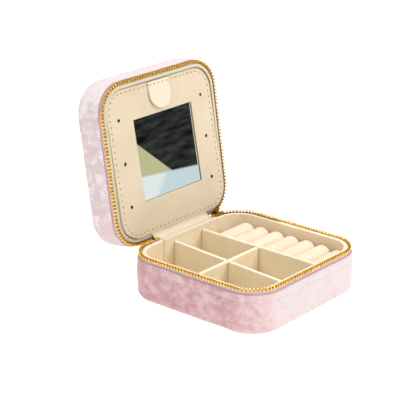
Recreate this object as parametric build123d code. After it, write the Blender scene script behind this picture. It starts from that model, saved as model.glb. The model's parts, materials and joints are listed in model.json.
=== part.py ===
"""Small square jewelry box with a zip: a padded base tray and a hinged lid with a mirror panel.

Frame: millimetres, +Z up. The origin is the centre of the base's underside. The hinge is at the
back (+Y), and the open front faces -Y. Each lid piece is drawn closed over the base, and then
turned back about the hinge line, because the box is stored standing open.
"""

import math
import os

from build123d import *

# Overall size of the closed box
box_width = 100.0  # along X
box_depth = 98.0  # along Y
corner_radius = 19.0  # upright corners, in plan
base_height = 23.6  # underside to the top edge of the base's velvet
lid_height = 18.0  # bottom edge of the lid's velvet to the top of the lid
zip_band_height = 7.3  # between the two velvet edges when the box is shut
lid_open_angle = 98.5  # the lid leans back past upright and rests there

# Walls, from the outside in
cover_thickness = 1.0  # velvet on its foam backing
hem_thickness = 0.3  # extra thickness of the velvet's turned-in hem
wall_thickness = 2.9  # board
collar_thickness = 1.3  # lined collar that stands inside the board wall
base_edge_radius = 3.2
lid_edge_radius = 4.3
floor_thickness = 2.0
lining_thickness = 1.2
collar_rise = 2.4  # the collar stands this far above the velvet's edge
collar_edge_radius = 0.5
board_set_back = 0.2  # the board ends this far short of the velvet's edge

# Zip
tape_thickness = 0.6
tape_hidden = 6.0  # tape sewn behind the velvet
tape_shown = 1.8  # tape between the velvet's edge and the tape's free edge
tooth_pitch = 2.1
tooth_length = 0.95  # along the zip
tooth_depth = 2.0  # across the tape
tooth_height = 3.1
tooth_lift = 0.7  # velvet's edge to the foot of the teeth
tooth_bevel = 0.25
stop_length = 1.9
stop_height = 2.85
slot_clearance = 0.02
overcut = 1.0  # how far a cutting shape runs past what it cuts

# Slider and puller
slider_length = 7.0
slider_height = 5.7  # outer plate
slider_inner_height = 4.7  # lower, because the lid's collar swings over it
slider_taper = 1.4  # height lost at the tail
slider_plate = 0.7
slider_corner = 1.2
slider_clearance = 0.06
slider_lift = 0.15  # velvet's edge to the slider's lower edge
post_length = 1.6
post_height = 0.9
bar_radius = 0.45
bar_stand_off = 1.14  # bar's axis to the slider's outer plate
bar_length = 4.8
bar_foot = 0.8
eye_clearance = 0.07
eye_wall = 0.45
eye_length = 2.0
puller_width = 4.0
puller_length = 13.0
puller_thickness = 0.8
puller_neck = 1.7  # bar's axis to the puller's shoulders
puller_set_in = 0.2  # puller's mid-plane to the bar's axis

# Hinge
strip_left_gap = 10.0  # rear left corner's round to the strip's left end
strip_right_gap = 4.0  # strip's right end to the rear right corner's round
strip_end_gap = 0.35
hinge_gap = 0.12
lining_cloth = 0.5
lining_reveal = 0.55  # bare board between the hinge line and the inner cloth
cloth_gap = 0.05

# Base fittings
divider_thickness = 2.5
divider_drop = 0.3  # divider tops below the velvet's edge
ring_bay_width = 30.4
long_divider_offset = 1.0  # right of the middle of the left-hand space
long_divider_skew = 5.0  # degrees: the loose long divider stands askew
cross_divider_y = 0.5
lap_clearance = 0.1
divider_end_gap = 0.4
roll_count = 7
roll_bay_gap = 8.5  # free length of the ring bay behind the rolls
roll_end_gap = 3.6
roll_gap = 0.2
roll_rise = 0.1  # roll crowns above the divider tops
roll_end_radius = 2.6

# Mirror panel in the lid
panel_gap = 0.3
panel_proud = 0.4  # middle of the panel's face stands this far past the lid collar's rim
panel_lean = 1.7  # degrees: the panel's hinged edge stands out and its tab edge sits deeper
face_thickness = 0.6
panel_board_thickness = 2.0
panel_back_thickness = 0.5
mirror_margin = 19.4
mirror_shift_x = 1.1  # mirror opening's centre to the panel's centre
mirror_shift_y = -0.3
mirror_lap = 2.0  # face leather over the mirror's edge
mirror_thickness = 1.2
mirror_gap = 0.1
hole_radius = 1.0
hole_count = 3
hole_spacing = 25.4
hole_margin = 9.0  # hole's centre to the panel's side
hole_shift_y = -1.3  # middle hole to the panel's middle, towards the tab
tab_width = 17.5
tab_length = 16.5
tab_root = 3.0  # sewn part of the tab
tab_thickness = 0.7
tab_gap = 0.25
tab_root_gap = 0.3  # tab's end to the panel's edge

# Levels and insets worked out from the sizes above
half_width = box_width / 2
half_depth = box_depth / 2
lid_base_z = base_height + zip_band_height
lid_top_z = lid_base_z + lid_height
board_inset = cover_thickness
tape_inset = cover_thickness + hem_thickness
tape_back_inset = tape_inset + tape_thickness
tooth_inset = tape_inset + tape_thickness / 2
collar_inset = cover_thickness + wall_thickness
inner_inset = collar_inset + collar_thickness
floor_z = cover_thickness + floor_thickness
pad_top_z = floor_z + lining_thickness
collar_top_z = base_height + collar_rise
board_top_z = base_height - board_set_back
divider_top_z = base_height - divider_drop
tooth_foot_z = base_height + tooth_lift
tape_top_z = base_height + tape_shown
lid_tooth_head_z = lid_base_z - tooth_lift
lid_tape_low_z = lid_base_z - tape_shown - slot_clearance
lid_board_low_z = lid_base_z + board_set_back
lid_collar_low_z = lid_base_z - collar_rise - slot_clearance
lid_ceiling_z = lid_top_z - cover_thickness - floor_thickness
lid_lining_z = lid_ceiling_z - lining_thickness
inner_half_width = half_width - inner_inset
inner_half_depth = half_depth - inner_inset
inner_back = inner_half_depth - lining_cloth
arc_x = half_width - corner_radius  # where the round corners start, along X and along Y
arc_y = half_depth - corner_radius
strip_left = strip_left_gap - arc_x
strip_right = arc_x - strip_right_gap
strip_radius = cover_thickness / 2
hinge_y = half_depth - strip_radius
hinge_z = base_height + strip_radius + hinge_gap

# Slider: it runs round the box's rear right corner
tooth_outer_radius = corner_radius - tooth_inset + tooth_depth / 2
tooth_inner_radius = tooth_outer_radius - tooth_depth
slider_out_y = arc_y + tooth_outer_radius + slider_clearance
slider_in_y = arc_y + math.sqrt(tooth_inner_radius**2 - (slider_length / 2) ** 2) - slider_clearance
slider_low_z = base_height + slider_lift
slider_mid_z = slider_low_z + slider_height / 2
post_low_z = tooth_foot_z + tooth_height + slider_clearance
bar_y = slider_out_y + slider_plate + bar_stand_off
bar_z = slider_mid_z
lid_row_start = slider_length / 2 - tooth_length  # the lid's row may start inside the slider's mouth
lid_tape_start = slider_length / 2 + slider_clearance  # the lid's tape swings past the slider

# Mirror panel
panel_inset = inner_inset + panel_gap
panel_half_width = half_width - panel_inset
panel_half_depth = half_depth - panel_inset
face_z = lid_collar_low_z - panel_proud
panel_board_z = face_z + face_thickness
panel_back_z = panel_board_z + panel_board_thickness
tab_front_y = -panel_half_depth + tab_root_gap
tab_pivot_y = tab_front_y + tab_root
tab_tip_y = tab_front_y + tab_length
tab_top_z = face_z - tab_gap

# Ring bay
ring_divider_x = inner_half_width - ring_bay_width - divider_thickness / 2
ring_divider_left = ring_divider_x - divider_thickness / 2
roll_start_x = inner_half_width - ring_bay_width
roll_pitch = (2 * inner_half_depth - roll_bay_gap) / roll_count
roll_width = roll_pitch - roll_gap
roll_length = ring_bay_width - roll_end_gap
roll_top_z = divider_top_z + roll_rise


def slab(inset, low, high):
    """Solid with the box's plan outline, drawn in by inset."""
    outline = RectangleRounded(
        box_width - 2 * inset, box_depth - 2 * inset, corner_radius - inset
    )
    return Pos(0, 0, low) * extrude(outline, high - low)


def ring(outside, inside, low, high):
    """Wall between two insets that follows the box's plan outline."""
    return slab(outside, low, high) - slab(inside, low - overcut, high + overcut)


def block(low, high):
    """Box between two opposite corners."""
    size = [b - a for a, b in zip(low, high)]
    return Pos(*low) * Box(*size, align=(Align.MIN, Align.MIN, Align.MIN))


def bottom_edges(solid):
    return solid.edges().group_by(Axis.Z)[0]


def top_edges(solid):
    return solid.edges().group_by(Axis.Z)[-1]


def open_lid(shape):
    """Turn a piece that is drawn closed to where it is with the lid open."""
    return shape.rotate(Axis((0, hinge_y, hinge_z), (1, 0, 0)), -lid_open_angle)


def across(points, left, right):
    """Extrude a profile, given as (y, z) points, from left to right along X."""
    profile = Polyline(*[(left, y, z) for y, z in points], close=True)
    return extrude(make_face(profile), right - left, dir=(1, 0, 0))


# ---- base tray ----


def base_cover():
    outer = fillet(bottom_edges(slab(0, 0, base_height)), base_edge_radius)
    hollow = fillet(
        bottom_edges(slab(cover_thickness, cover_thickness, base_height + overcut)),
        base_edge_radius - cover_thickness,
    )
    neck = slab(tape_inset, base_height - tape_hidden, base_height + overcut)
    room = hollow - slab(-overcut, base_height - tape_hidden, base_height + 2 * overcut)
    return outer - room - neck


def base_board():
    wall_foot = slab(board_inset, cover_thickness, base_height - tape_hidden)
    wall_foot = fillet(bottom_edges(wall_foot), base_edge_radius - cover_thickness)
    wall_head = slab(tape_back_inset, base_height - tape_hidden, board_top_z)
    return wall_foot + wall_head - slab(collar_inset, floor_z, base_height + overcut)


def base_collar():
    outer = slab(collar_inset, floor_z, collar_top_z)
    collar = outer - slab(inner_inset, floor_z - overcut, collar_top_z + overcut)
    return fillet(top_edges(collar), collar_edge_radius)


def floor_pad():
    return slab(inner_inset, floor_z, pad_top_z)


def base_inner_cloth():
    """Cloth down the inner back wall and over the collar to the hinge line."""
    crest = collar_top_z + cloth_gap
    edge = hinge_y - lining_reveal
    points = [
        (inner_back, pad_top_z),
        (inner_back, crest + lining_cloth),
        (half_depth - collar_inset, crest + lining_cloth),
        (edge, hinge_z + cloth_gap),
        (edge, base_height + cloth_gap),
        (half_depth - collar_inset, crest),
        (inner_half_depth, crest),
        (inner_half_depth, pad_top_z),
    ]
    return across(points, strip_left, strip_right)


def interior():
    """Free space of the tray between the walls, the floor pad and the divider tops."""
    space = slab(inner_inset, pad_top_z, divider_top_z)
    return space - block(
        (-half_width, inner_back, 0), (half_width, half_depth, lid_top_z)
    )


def upright(x, y, thickness, turn):
    """Long upright plate through (x, y), along Y where turn is 0."""
    height = divider_top_z - pad_top_z
    plate = Box(thickness, 2 * box_depth, height, align=(Align.CENTER, Align.CENTER, Align.MIN))
    return Pos(x, y, pad_top_z) * Rot(0, 0, turn) * plate


def long_divider_x():
    return (ring_divider_left - inner_half_width) / 2 + long_divider_offset


def ring_divider():
    return upright(ring_divider_x, 0, divider_thickness, 0) & interior()


def half_height(upper):
    """Upper or lower half of the divider height, over the whole box."""
    middle = (divider_top_z + pad_top_z) / 2
    low = middle if upper else 0
    high = lid_top_z if upper else middle
    return block((-half_width, -half_depth, low), (half_width, half_depth, high))


def cross_plate(thickness):
    return upright(0, cross_divider_y, thickness, 90)


def long_plate(thickness):
    return upright(long_divider_x(), 0, thickness, -long_divider_skew)


def long_divider():
    notch = cross_plate(divider_thickness + 2 * lap_clearance) & half_height(True)
    return (long_plate(divider_thickness) & interior()) - notch


def cross_divider():
    right_end = block(
        (ring_divider_left - divider_end_gap, -half_depth, 0),
        (half_width, half_depth, lid_top_z),
    )
    notch = long_plate(divider_thickness + 2 * lap_clearance) & half_height(False)
    return (cross_plate(divider_thickness) & interior()) - right_end - notch


def ring_roll(index):
    """One upholstered roll, with a half-round crown and a rounded free end."""
    crown = roll_width / 2
    y = -inner_half_depth + roll_pitch * (index + 0.5)
    body = Pos(roll_start_x, y - crown, pad_top_z) * Box(
        roll_length, roll_width, roll_top_z - crown - pad_top_z, align=(Align.MIN,) * 3
    )
    bar = Pos(roll_start_x, y, roll_top_z - crown) * Rot(0, 90, 0) * Cylinder(
        crown, roll_length, align=(Align.CENTER, Align.CENTER, Align.MIN)
    )
    roll = (body + bar) & (slab(inner_inset, 0, lid_top_z))
    far_face = roll.faces().sort_by(Axis.X)[-1]
    curved = far_face.edges().filter_by(GeomType.CIRCLE)
    return fillet(curved, roll_end_radius) if curved else roll


# ---- zip ----


def zip_path():
    """Middle of the tape from beside the slider, round the box, to the strip's left edge."""
    x, y = half_width - tooth_inset, half_depth - tooth_inset
    points = [
        (strip_right + strip_end_gap, y),
        (x, y),
        (x, -y),
        (-x, -y),
        (-x, y),
        (strip_left - strip_end_gap, y),
    ]
    return FilletPolyline(*points, radius=corner_radius - tooth_inset)


def tape_gap(start_x):
    """Space that the hinge strip and the parked slider keep free of tape."""
    return block(
        (strip_left - strip_end_gap, arc_y, 0),
        (start_x, half_depth + overcut, lid_top_z),
    )


def base_zip_tape():
    tape = ring(tape_inset, tape_back_inset, base_height - tape_hidden, tape_top_z)
    return tape - tape_gap(strip_right + strip_end_gap)


def lid_zip_tape():
    tape = ring(tape_inset, tape_back_inset, lid_tape_low_z, lid_base_z + tape_hidden)
    return open_lid(tape - tape_gap(arc_x + lid_tape_start))


def clamp(length, height):
    """One zip element at the origin, standing over a tape that runs along X."""
    body = Box(length, tooth_depth, height, align=(Align.CENTER, Align.CENTER, Align.MIN))
    head = top_edges(body).filter_by(Axis.Y)
    slot = Box(
        length + overcut,
        tape_thickness + 2 * slot_clearance,
        tape_shown - tooth_lift + slot_clearance,
        align=(Align.CENTER, Align.CENTER, Align.MIN),
    )
    return chamfer(head, tooth_bevel) - slot


def place_on_zip(piece, distance, upside_down):
    """Put an element of the base's or the lid's row at a distance along the zip."""
    path = zip_path()
    point = path.position_at(distance, position_mode=PositionMode.LENGTH)
    heading = path.tangent_at(distance, position_mode=PositionMode.LENGTH)
    up = -1 if upside_down else 1
    height = lid_tooth_head_z if upside_down else tooth_foot_z
    spot = Plane(origin=(point.X, point.Y, height), x_dir=heading, z_dir=(0, 0, up))
    return spot.location * piece


def row(first, last, upside_down):
    """Elements one pitch apart between two distances along the zip."""
    tooth = clamp(tooth_length, tooth_height)
    count = int((last - first) / tooth_pitch) + 1
    return [
        place_on_zip(tooth, first + i * tooth_pitch, upside_down) for i in range(count)
    ]


def row_ends():
    """First and last distance at which a tooth of the base's row may stand."""
    first = stop_length + tooth_pitch / 2
    last = zip_path().length - stop_length - tooth_pitch
    return first, last


def base_zip_teeth():
    first, last = row_ends()
    return Compound(children=row(first, last, False))


def lid_zip_teeth():
    first, last = row_ends()
    skipped = arc_x + lid_row_start + tooth_length - strip_right - strip_end_gap
    steps = math.ceil((skipped - first) / tooth_pitch)
    start = first + (steps + 0.5) * tooth_pitch
    return open_lid(Compound(children=row(start, last, True)))


def base_zip_stops():
    stop = clamp(stop_length, stop_height)
    near = place_on_zip(stop, stop_length / 2, False)
    far = place_on_zip(stop, zip_path().length - stop_length / 2, False)
    return Compound(children=[near, far])


def lid_zip_stop():
    distance = zip_path().length - stop_length / 2
    return open_lid(place_on_zip(clamp(stop_length, stop_height), distance, True))


def slider_face(y, height):
    """Shield-shaped plate of the slider, wide towards the open end of its run."""
    half = slider_length / 2
    step = slider_taper / 2
    points = [(-half, step), (half, 0), (half, height), (-half, height - step)]
    outline = fillet(Polygon(*points, align=None).vertices(), slider_corner)
    plate = extrude(outline, slider_plate)
    return Pos(arc_x, y, slider_low_z) * Rot(90, 0, 0) * plate


def zip_slider():
    outer = slider_face(slider_out_y + slider_plate, slider_height)
    inner = slider_face(slider_in_y, slider_inner_height)
    post = block(
        (arc_x - post_length / 2, slider_in_y - slider_plate / 2, post_low_z),
        (arc_x + post_length / 2, slider_out_y + slider_plate / 2, post_low_z + post_height),
    )
    bar = Pos(arc_x, bar_y, bar_z) * Rot(0, 90, 0) * Cylinder(bar_radius, bar_length)
    body = outer + inner + post + bar
    for side in (-1, 1):
        foot_x = arc_x + side * (bar_length - bar_foot) / 2
        body += block(
            (foot_x - bar_foot / 2, slider_out_y + slider_plate / 2, bar_z - bar_radius),
            (foot_x + bar_foot / 2, bar_y, bar_z + bar_radius),
        )
    return body


def zip_puller():
    hole = bar_radius + eye_clearance
    middle_y = bar_y - puller_set_in
    low_z = bar_z - puller_length
    eye = Cylinder(hole + eye_wall, eye_length)
    neck = block(
        (arc_x - eye_length / 2, middle_y - puller_thickness / 2, bar_z - puller_neck - overcut),
        (arc_x + eye_length / 2, middle_y + puller_thickness / 2, bar_z - hole / 2),
    )
    blade = block(
        (arc_x - puller_width / 2, middle_y - puller_thickness / 2, low_z),
        (arc_x + puller_width / 2, middle_y + puller_thickness / 2, bar_z - puller_neck),
    )
    blade = fillet(blade.edges().filter_by(Axis.Y), slider_corner)
    at_bar = Pos(arc_x, bar_y, bar_z) * Rot(0, 90, 0)
    return at_bar * eye + neck + blade - at_bar * Cylinder(hole, bar_length)


# ---- lid, drawn closed ----


def lid_cover():
    outer = fillet(top_edges(slab(0, lid_base_z, lid_top_z)), lid_edge_radius)
    hollow = fillet(
        top_edges(slab(cover_thickness, lid_base_z + tape_hidden, lid_top_z - cover_thickness)),
        lid_edge_radius - cover_thickness,
    )
    neck = slab(tape_inset, lid_base_z - overcut, lid_base_z + tape_hidden)
    return open_lid(outer - hollow - neck)


def lid_board():
    head = slab(board_inset, lid_base_z + tape_hidden, lid_top_z - cover_thickness)
    head = fillet(top_edges(head), lid_edge_radius - cover_thickness)
    foot = slab(tape_back_inset, lid_board_low_z, lid_base_z + tape_hidden)
    return open_lid(head + foot - slab(collar_inset, 0, lid_ceiling_z))


def lid_collar():
    outer = slab(collar_inset, lid_collar_low_z, lid_ceiling_z)
    collar = outer - slab(inner_inset, lid_collar_low_z - overcut, lid_ceiling_z + overcut)
    return open_lid(fillet(bottom_edges(collar), collar_edge_radius))


def lid_lining():
    return open_lid(slab(inner_inset, lid_lining_z, lid_ceiling_z))


def hinge_strip():
    """Velvet strip that joins the two covers, with its lower edge round the hinge line."""
    strip = block(
        (strip_left, half_depth - cover_thickness, hinge_z), (strip_right, half_depth, lid_base_z)
    )
    edge = Pos(strip_left, hinge_y, hinge_z) * Rot(0, 90, 0) * Cylinder(
        strip_radius, strip_right - strip_left, align=(Align.CENTER, Align.CENTER, Align.MIN)
    )
    return open_lid(strip + edge)


def lid_inner_cloth():
    """Cloth from the mirror panel's lower edge over the lid's collar to the hinge line."""
    crest = lid_collar_low_z - cloth_gap
    edge = hinge_y - lining_reveal
    start = hinge_z + strip_radius + lining_cloth / 2
    panel_edge = panel_half_depth + 2 * cloth_gap
    points = [
        (panel_edge, face_z - cloth_gap),
        (panel_edge, crest - lining_cloth),
        (half_depth - collar_inset, crest - lining_cloth),
        (edge, start),
        (edge, start + lining_cloth),
        (half_depth - collar_inset, crest),
        (inner_half_depth, crest),
        (inner_half_depth, face_z - cloth_gap),
    ]
    return open_lid(across(points, strip_left, strip_right))


# ---- mirror panel, drawn closed ----


def seat_panel(shape):
    """Lean a piece of the panel, drawn level, and turn it to where it is with the lid open."""
    return open_lid(shape.rotate(Axis((0, 0, face_z), (1, 0, 0)), -panel_lean))


def panel_window(extra):
    """Plan size of the mirror opening, grown by extra all round."""
    return (
        2 * (panel_half_width - mirror_margin + extra),
        2 * (panel_half_depth - mirror_margin + extra),
    )


def window_block(extra, low, high):
    width, depth = panel_window(extra)
    window = block((-width / 2, -depth / 2, low), (width / 2, depth / 2, high))
    return Pos(mirror_shift_x, mirror_shift_y, 0) * window


def drill_holes(shape):
    """Earring holes in two columns beside the mirror."""
    for side in (-1, 1):
        for i in range(hole_count):
            x = side * (panel_half_width - hole_margin)
            y = hole_spacing * (i - (hole_count - 1) / 2) + hole_shift_y
            shape -= Pos(x, y, face_z) * Cylinder(hole_radius, zip_band_height)
    return shape


def panel_face():
    skin = slab(panel_inset, face_z, panel_board_z)
    window = window_block(0, face_z - overcut, panel_board_z + overcut)
    return seat_panel(drill_holes(skin - window))


def panel_board():
    board = slab(panel_inset, panel_board_z, panel_back_z)
    pocket = window_block(
        mirror_lap + mirror_gap,
        panel_board_z - overcut,
        panel_board_z + mirror_thickness + mirror_gap,
    )
    return seat_panel(drill_holes(board - pocket))


def mirror():
    return seat_panel(window_block(mirror_lap, panel_board_z, panel_board_z + mirror_thickness))


def panel_back():
    return seat_panel(slab(panel_inset, panel_back_z, panel_back_z + panel_back_thickness))


def tab_root_piece():
    return seat_panel(
        block((-tab_width / 2, tab_front_y, tab_top_z), (tab_width / 2, tab_pivot_y, face_z))
    )


def pull_tab():
    """Free part of the leather tab, with a round end."""
    radius = tab_width / 2
    straight = block(
        (-radius, tab_pivot_y, tab_top_z - tab_thickness),
        (radius, tab_tip_y - radius, tab_top_z),
    )
    tip = Pos(0, tab_tip_y - radius, tab_top_z - tab_thickness) * Cylinder(
        radius, tab_thickness, align=(Align.CENTER, Align.CENTER, Align.MIN)
    )
    tip -= block((-tab_width, -half_depth, 0), (tab_width, tab_pivot_y, lid_top_z))
    return seat_panel(straight + tip)


nodes = {
    "base_cover": base_cover(),
    "base_board": base_board(),
    "base_collar": base_collar(),
    "floor_pad": floor_pad(),
    "base_inner_cloth": base_inner_cloth(),
    "base_zip_tape": base_zip_tape(),
    "base_zip_teeth": base_zip_teeth(),
    "base_zip_stops": base_zip_stops(),
    "ring_divider": ring_divider(),
    "long_divider": long_divider(),
    "cross_divider": cross_divider(),
    "zip_slider": zip_slider(),
    "zip_puller": zip_puller(),
    "lid_cover": lid_cover(),
    "lid_board": lid_board(),
    "lid_collar": lid_collar(),
    "lid_lining": lid_lining(),
    "lid_zip_tape": lid_zip_tape(),
    "lid_zip_teeth": lid_zip_teeth(),
    "lid_zip_stop": lid_zip_stop(),
    "hinge_strip": hinge_strip(),
    "lid_inner_cloth": lid_inner_cloth(),
    "panel_face": panel_face(),
    "panel_board": panel_board(),
    "panel_back": panel_back(),
    "mirror": mirror(),
    "tab_root": tab_root_piece(),
    "pull_tab": pull_tab(),
}
for number in range(roll_count):
    nodes[f"ring_roll_{number + 1}"] = ring_roll(number)

os.makedirs("parts", exist_ok=True)
for name, shape in nodes.items():
    export_step(shape, f"parts/{name}.step")
print("hinge line y, z:", hinge_y, hinge_z, "teeth:", len(nodes["base_zip_teeth"].solids()))
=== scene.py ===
"""Small zip-up velvet jewelry box that stands open: its looks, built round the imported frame.

Each sub-assembly of the box is a class whose fields are its sizes in millimetres. The lid's pieces
are drawn closed over the tray and then turned back about the hinge line, as the real lid is.
"""

import json
import logging
import math
from abc import ABC, abstractmethod
from collections.abc import Callable, Sequence
from dataclasses import dataclass
from enum import Enum
from typing import NamedTuple

import bmesh
import bpy
from mathutils import Matrix, Vector, noise


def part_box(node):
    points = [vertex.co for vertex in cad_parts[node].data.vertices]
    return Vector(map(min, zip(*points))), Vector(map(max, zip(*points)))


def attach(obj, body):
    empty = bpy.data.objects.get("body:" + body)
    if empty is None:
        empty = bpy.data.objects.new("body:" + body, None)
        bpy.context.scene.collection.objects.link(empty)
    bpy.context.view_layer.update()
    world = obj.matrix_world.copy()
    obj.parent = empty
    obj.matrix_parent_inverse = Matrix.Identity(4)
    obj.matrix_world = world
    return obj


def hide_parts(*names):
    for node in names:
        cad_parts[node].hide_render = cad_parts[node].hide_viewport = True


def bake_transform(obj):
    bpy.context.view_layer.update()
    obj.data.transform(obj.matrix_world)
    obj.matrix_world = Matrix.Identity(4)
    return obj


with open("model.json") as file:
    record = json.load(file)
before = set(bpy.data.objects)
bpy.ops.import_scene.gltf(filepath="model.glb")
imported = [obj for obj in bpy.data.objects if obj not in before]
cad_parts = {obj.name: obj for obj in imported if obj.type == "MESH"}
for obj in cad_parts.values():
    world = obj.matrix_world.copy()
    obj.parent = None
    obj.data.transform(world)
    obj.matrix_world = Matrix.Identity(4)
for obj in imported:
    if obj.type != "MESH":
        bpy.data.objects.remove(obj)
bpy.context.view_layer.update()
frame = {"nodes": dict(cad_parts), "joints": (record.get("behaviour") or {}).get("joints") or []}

LOG = logging.getLogger("jewelry_box")
MM = 0.001
MERGE = 1e-6  # points this near each other, in metres, are one point
WAVE_PERIOD = math.tau / 20  # a Wave Texture of scale 1 repeats after this length

Section = Sequence[tuple[float, float]]  # (inset, height) points of a wall's section, in mm


# ---- finishes ----


def linear(hex_colour: str) -> tuple[float, float, float, float]:
    """Turns an sRGB colour into the linear one that shaders take.

    Args:
        hex_colour: the colour as #rrggbb.

    Returns:
        Red, green, blue and alpha, linear.
    """
    channels = [int(hex_colour[i : i + 2], 16) / 255 for i in (1, 3, 5)]
    red, green, blue = (
        c / 12.92 if c <= 0.04045 else ((c + 0.055) / 1.055) ** 2.4 for c in channels
    )
    return red, green, blue, 1.0


def add(
    tree: bpy.types.NodeTree,
    kind: str,
    inputs: dict | None = None,
    stops: Sequence[tuple[float, str]] = (),
    **settings: object,
) -> bpy.types.Node:
    """Adds a node with its settings, its constants and its links.

    Args:
        tree: the tree that gets the node.
        kind: the node's type name.
        inputs: for each input, by name or number, a constant or the output that feeds it.
        stops: a colour ramp's (place, colour) stops.
        settings: the node's own properties.

    Returns:
        The new node.
    """
    made = tree.nodes.new(kind)
    for name, value in settings.items():
        setattr(made, name, value)
    for key, value in (inputs or {}).items():
        if isinstance(value, bpy.types.NodeSocket):
            tree.links.new(value, made.inputs[key])
        else:
            made.inputs[key].default_value = value
    for i, (place, colour) in enumerate(stops):
        elements = made.color_ramp.elements
        stop = elements[i] if i < len(elements) else elements.new(place)
        stop.position = place
        stop.color = linear(colour)
    return made


@dataclass(frozen=True)
class Finish(ABC):
    """A surface finish, whose material is built once and shared."""

    name: str

    @abstractmethod
    def lay(self, tree: bpy.types.NodeTree, shader: bpy.types.Node, place: bpy.types.NodeSocket) -> None:
        """Adds the finish's own nodes.

        Args:
            tree: the material's tree.
            shader: its Principled shader.
            place: the object coordinates, in metres.
        """

    def material(self) -> bpy.types.Material:
        """Returns the finish's material, and builds it the first time."""
        found = bpy.data.materials.get(self.name)
        if found:
            return found
        made = bpy.data.materials.new(self.name)
        made.use_nodes = True
        shader = made.node_tree.nodes["Principled BSDF"]
        place = add(made.node_tree, "ShaderNodeTexCoord").outputs["Object"]
        self.lay(made.node_tree, shader, place)
        return made


@dataclass(frozen=True)
class CrushedVelvet(Finish):
    """Polyester velvet whose pile was pressed in all directions.

    Patches of pile lean to or from the eye, so it is mottled light and dark, and every
    edge that turns away has a pale sheen. Painted light: faces turned towards lean are
    painted paler and faces turned away darker, as light from that side would leave them.
    """

    shade: str = "#b48b8d"
    middle: str = "#cdb0b0"
    light: str = "#c9bebe"
    patch: float = 12.0
    wrinkle: float = 4.0
    nap: float = 0.55  # real pile is 0.1 mm; drawn as coarse as it needs to show
    lean: tuple[float, float, float] = (0.85, -0.5, 0.0)  # painted light: faces turned this way are painted paler, faces turned away darker
    painted_light_share: float = 0.38
    dark_at: float = 0.66  # how deep the mottling must be for the shade, and for the light colour
    light_at: float = 1.66

    def lay(self, tree: bpy.types.NodeTree, shader: bpy.types.Node, place: bpy.types.NodeSocket) -> None:
        """Adds mottled colour, painted light that makes faces turned towards lean paler, and sheen."""
        lean = add(
            tree,
            "ShaderNodeMapping",
            {"Vector": place, "Rotation": (0.5, 0.35, 0.6), "Scale": (1.0, 0.8, 1.0)},
        )
        patches = add(
            tree,
            "ShaderNodeTexNoise",
            {
                "Vector": lean.outputs[0],
                "Scale": 1 / (self.patch * MM),
                "Detail": 4.0,
                "Roughness": 0.55,
                "Distortion": 0.35,
            },
        )
        wrinkles = add(
            tree,
            "ShaderNodeTexNoise",
            {
                "Vector": lean.outputs[0],
                "Scale": 1 / (self.wrinkle * MM),
                "Detail": 3.0,
                "Distortion": 0.5,
            },
        )
        pile = add(
            tree,
            "ShaderNodeTexNoise",
            {"Vector": place, "Scale": 1 / (self.nap * MM), "Detail": 2.0},
        )
        crush = add(
            tree,
            "ShaderNodeMath",
            {0: patches.outputs[0], 1: wrinkles.outputs[0], 2: 0.0},
            operation="ADD",
        )
        # painted light: the mottling is shifted by how far each face turns towards lean, so faces that
        # way come out paler and the rest darker
        normal = add(tree, "ShaderNodeNewGeometry").outputs["Normal"]
        facing = add(tree, "ShaderNodeVectorMath", {0: normal, 1: self.lean}, operation="DOT_PRODUCT")
        crush_with_painted_light = add(
            tree,
            "ShaderNodeMath",
            {0: facing.outputs["Value"], 1: self.painted_light_share, 2: crush.outputs[0]},
            operation="MULTIPLY_ADD",
        )
        mottle = add(
            tree,
            "ShaderNodeMath",
            {0: pile.outputs[0], 1: 0.3, 2: crush_with_painted_light.outputs[0]},
            operation="MULTIPLY_ADD",
        )
        level = add(
            tree, "ShaderNodeMapRange", {0: mottle.outputs[0], 1: self.dark_at, 2: self.light_at}
        )
        colour = add(
            tree,
            "ShaderNodeValToRGB",
            {0: level.outputs[0]},
            stops=((0.0, self.shade), (0.68, self.light), (0.42, self.middle)),
        )
        soft = add(
            tree,
            "ShaderNodeBump",
            {"Height": crush.outputs[0], "Distance": 0.6 * MM, "Strength": 0.8},
        )
        fine = add(
            tree,
            "ShaderNodeBump",
            {
                "Height": pile.outputs[0],
                "Distance": 0.12 * MM,
                "Strength": 0.7,
                "Normal": soft.outputs[0],
            },
        )
        tree.links.new(colour.outputs[0], shader.inputs["Base Color"])
        tree.links.new(fine.outputs[0], shader.inputs["Normal"])
        shader.inputs["Roughness"].default_value = 0.82
        shader.inputs["Specular IOR Level"].default_value = 0.2
        shader.inputs["Sheen Weight"].default_value = 0.4
        shader.inputs["Sheen Roughness"].default_value = 0.4
        shader.inputs["Sheen Tint"].default_value = linear("#f6ecec")


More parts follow.
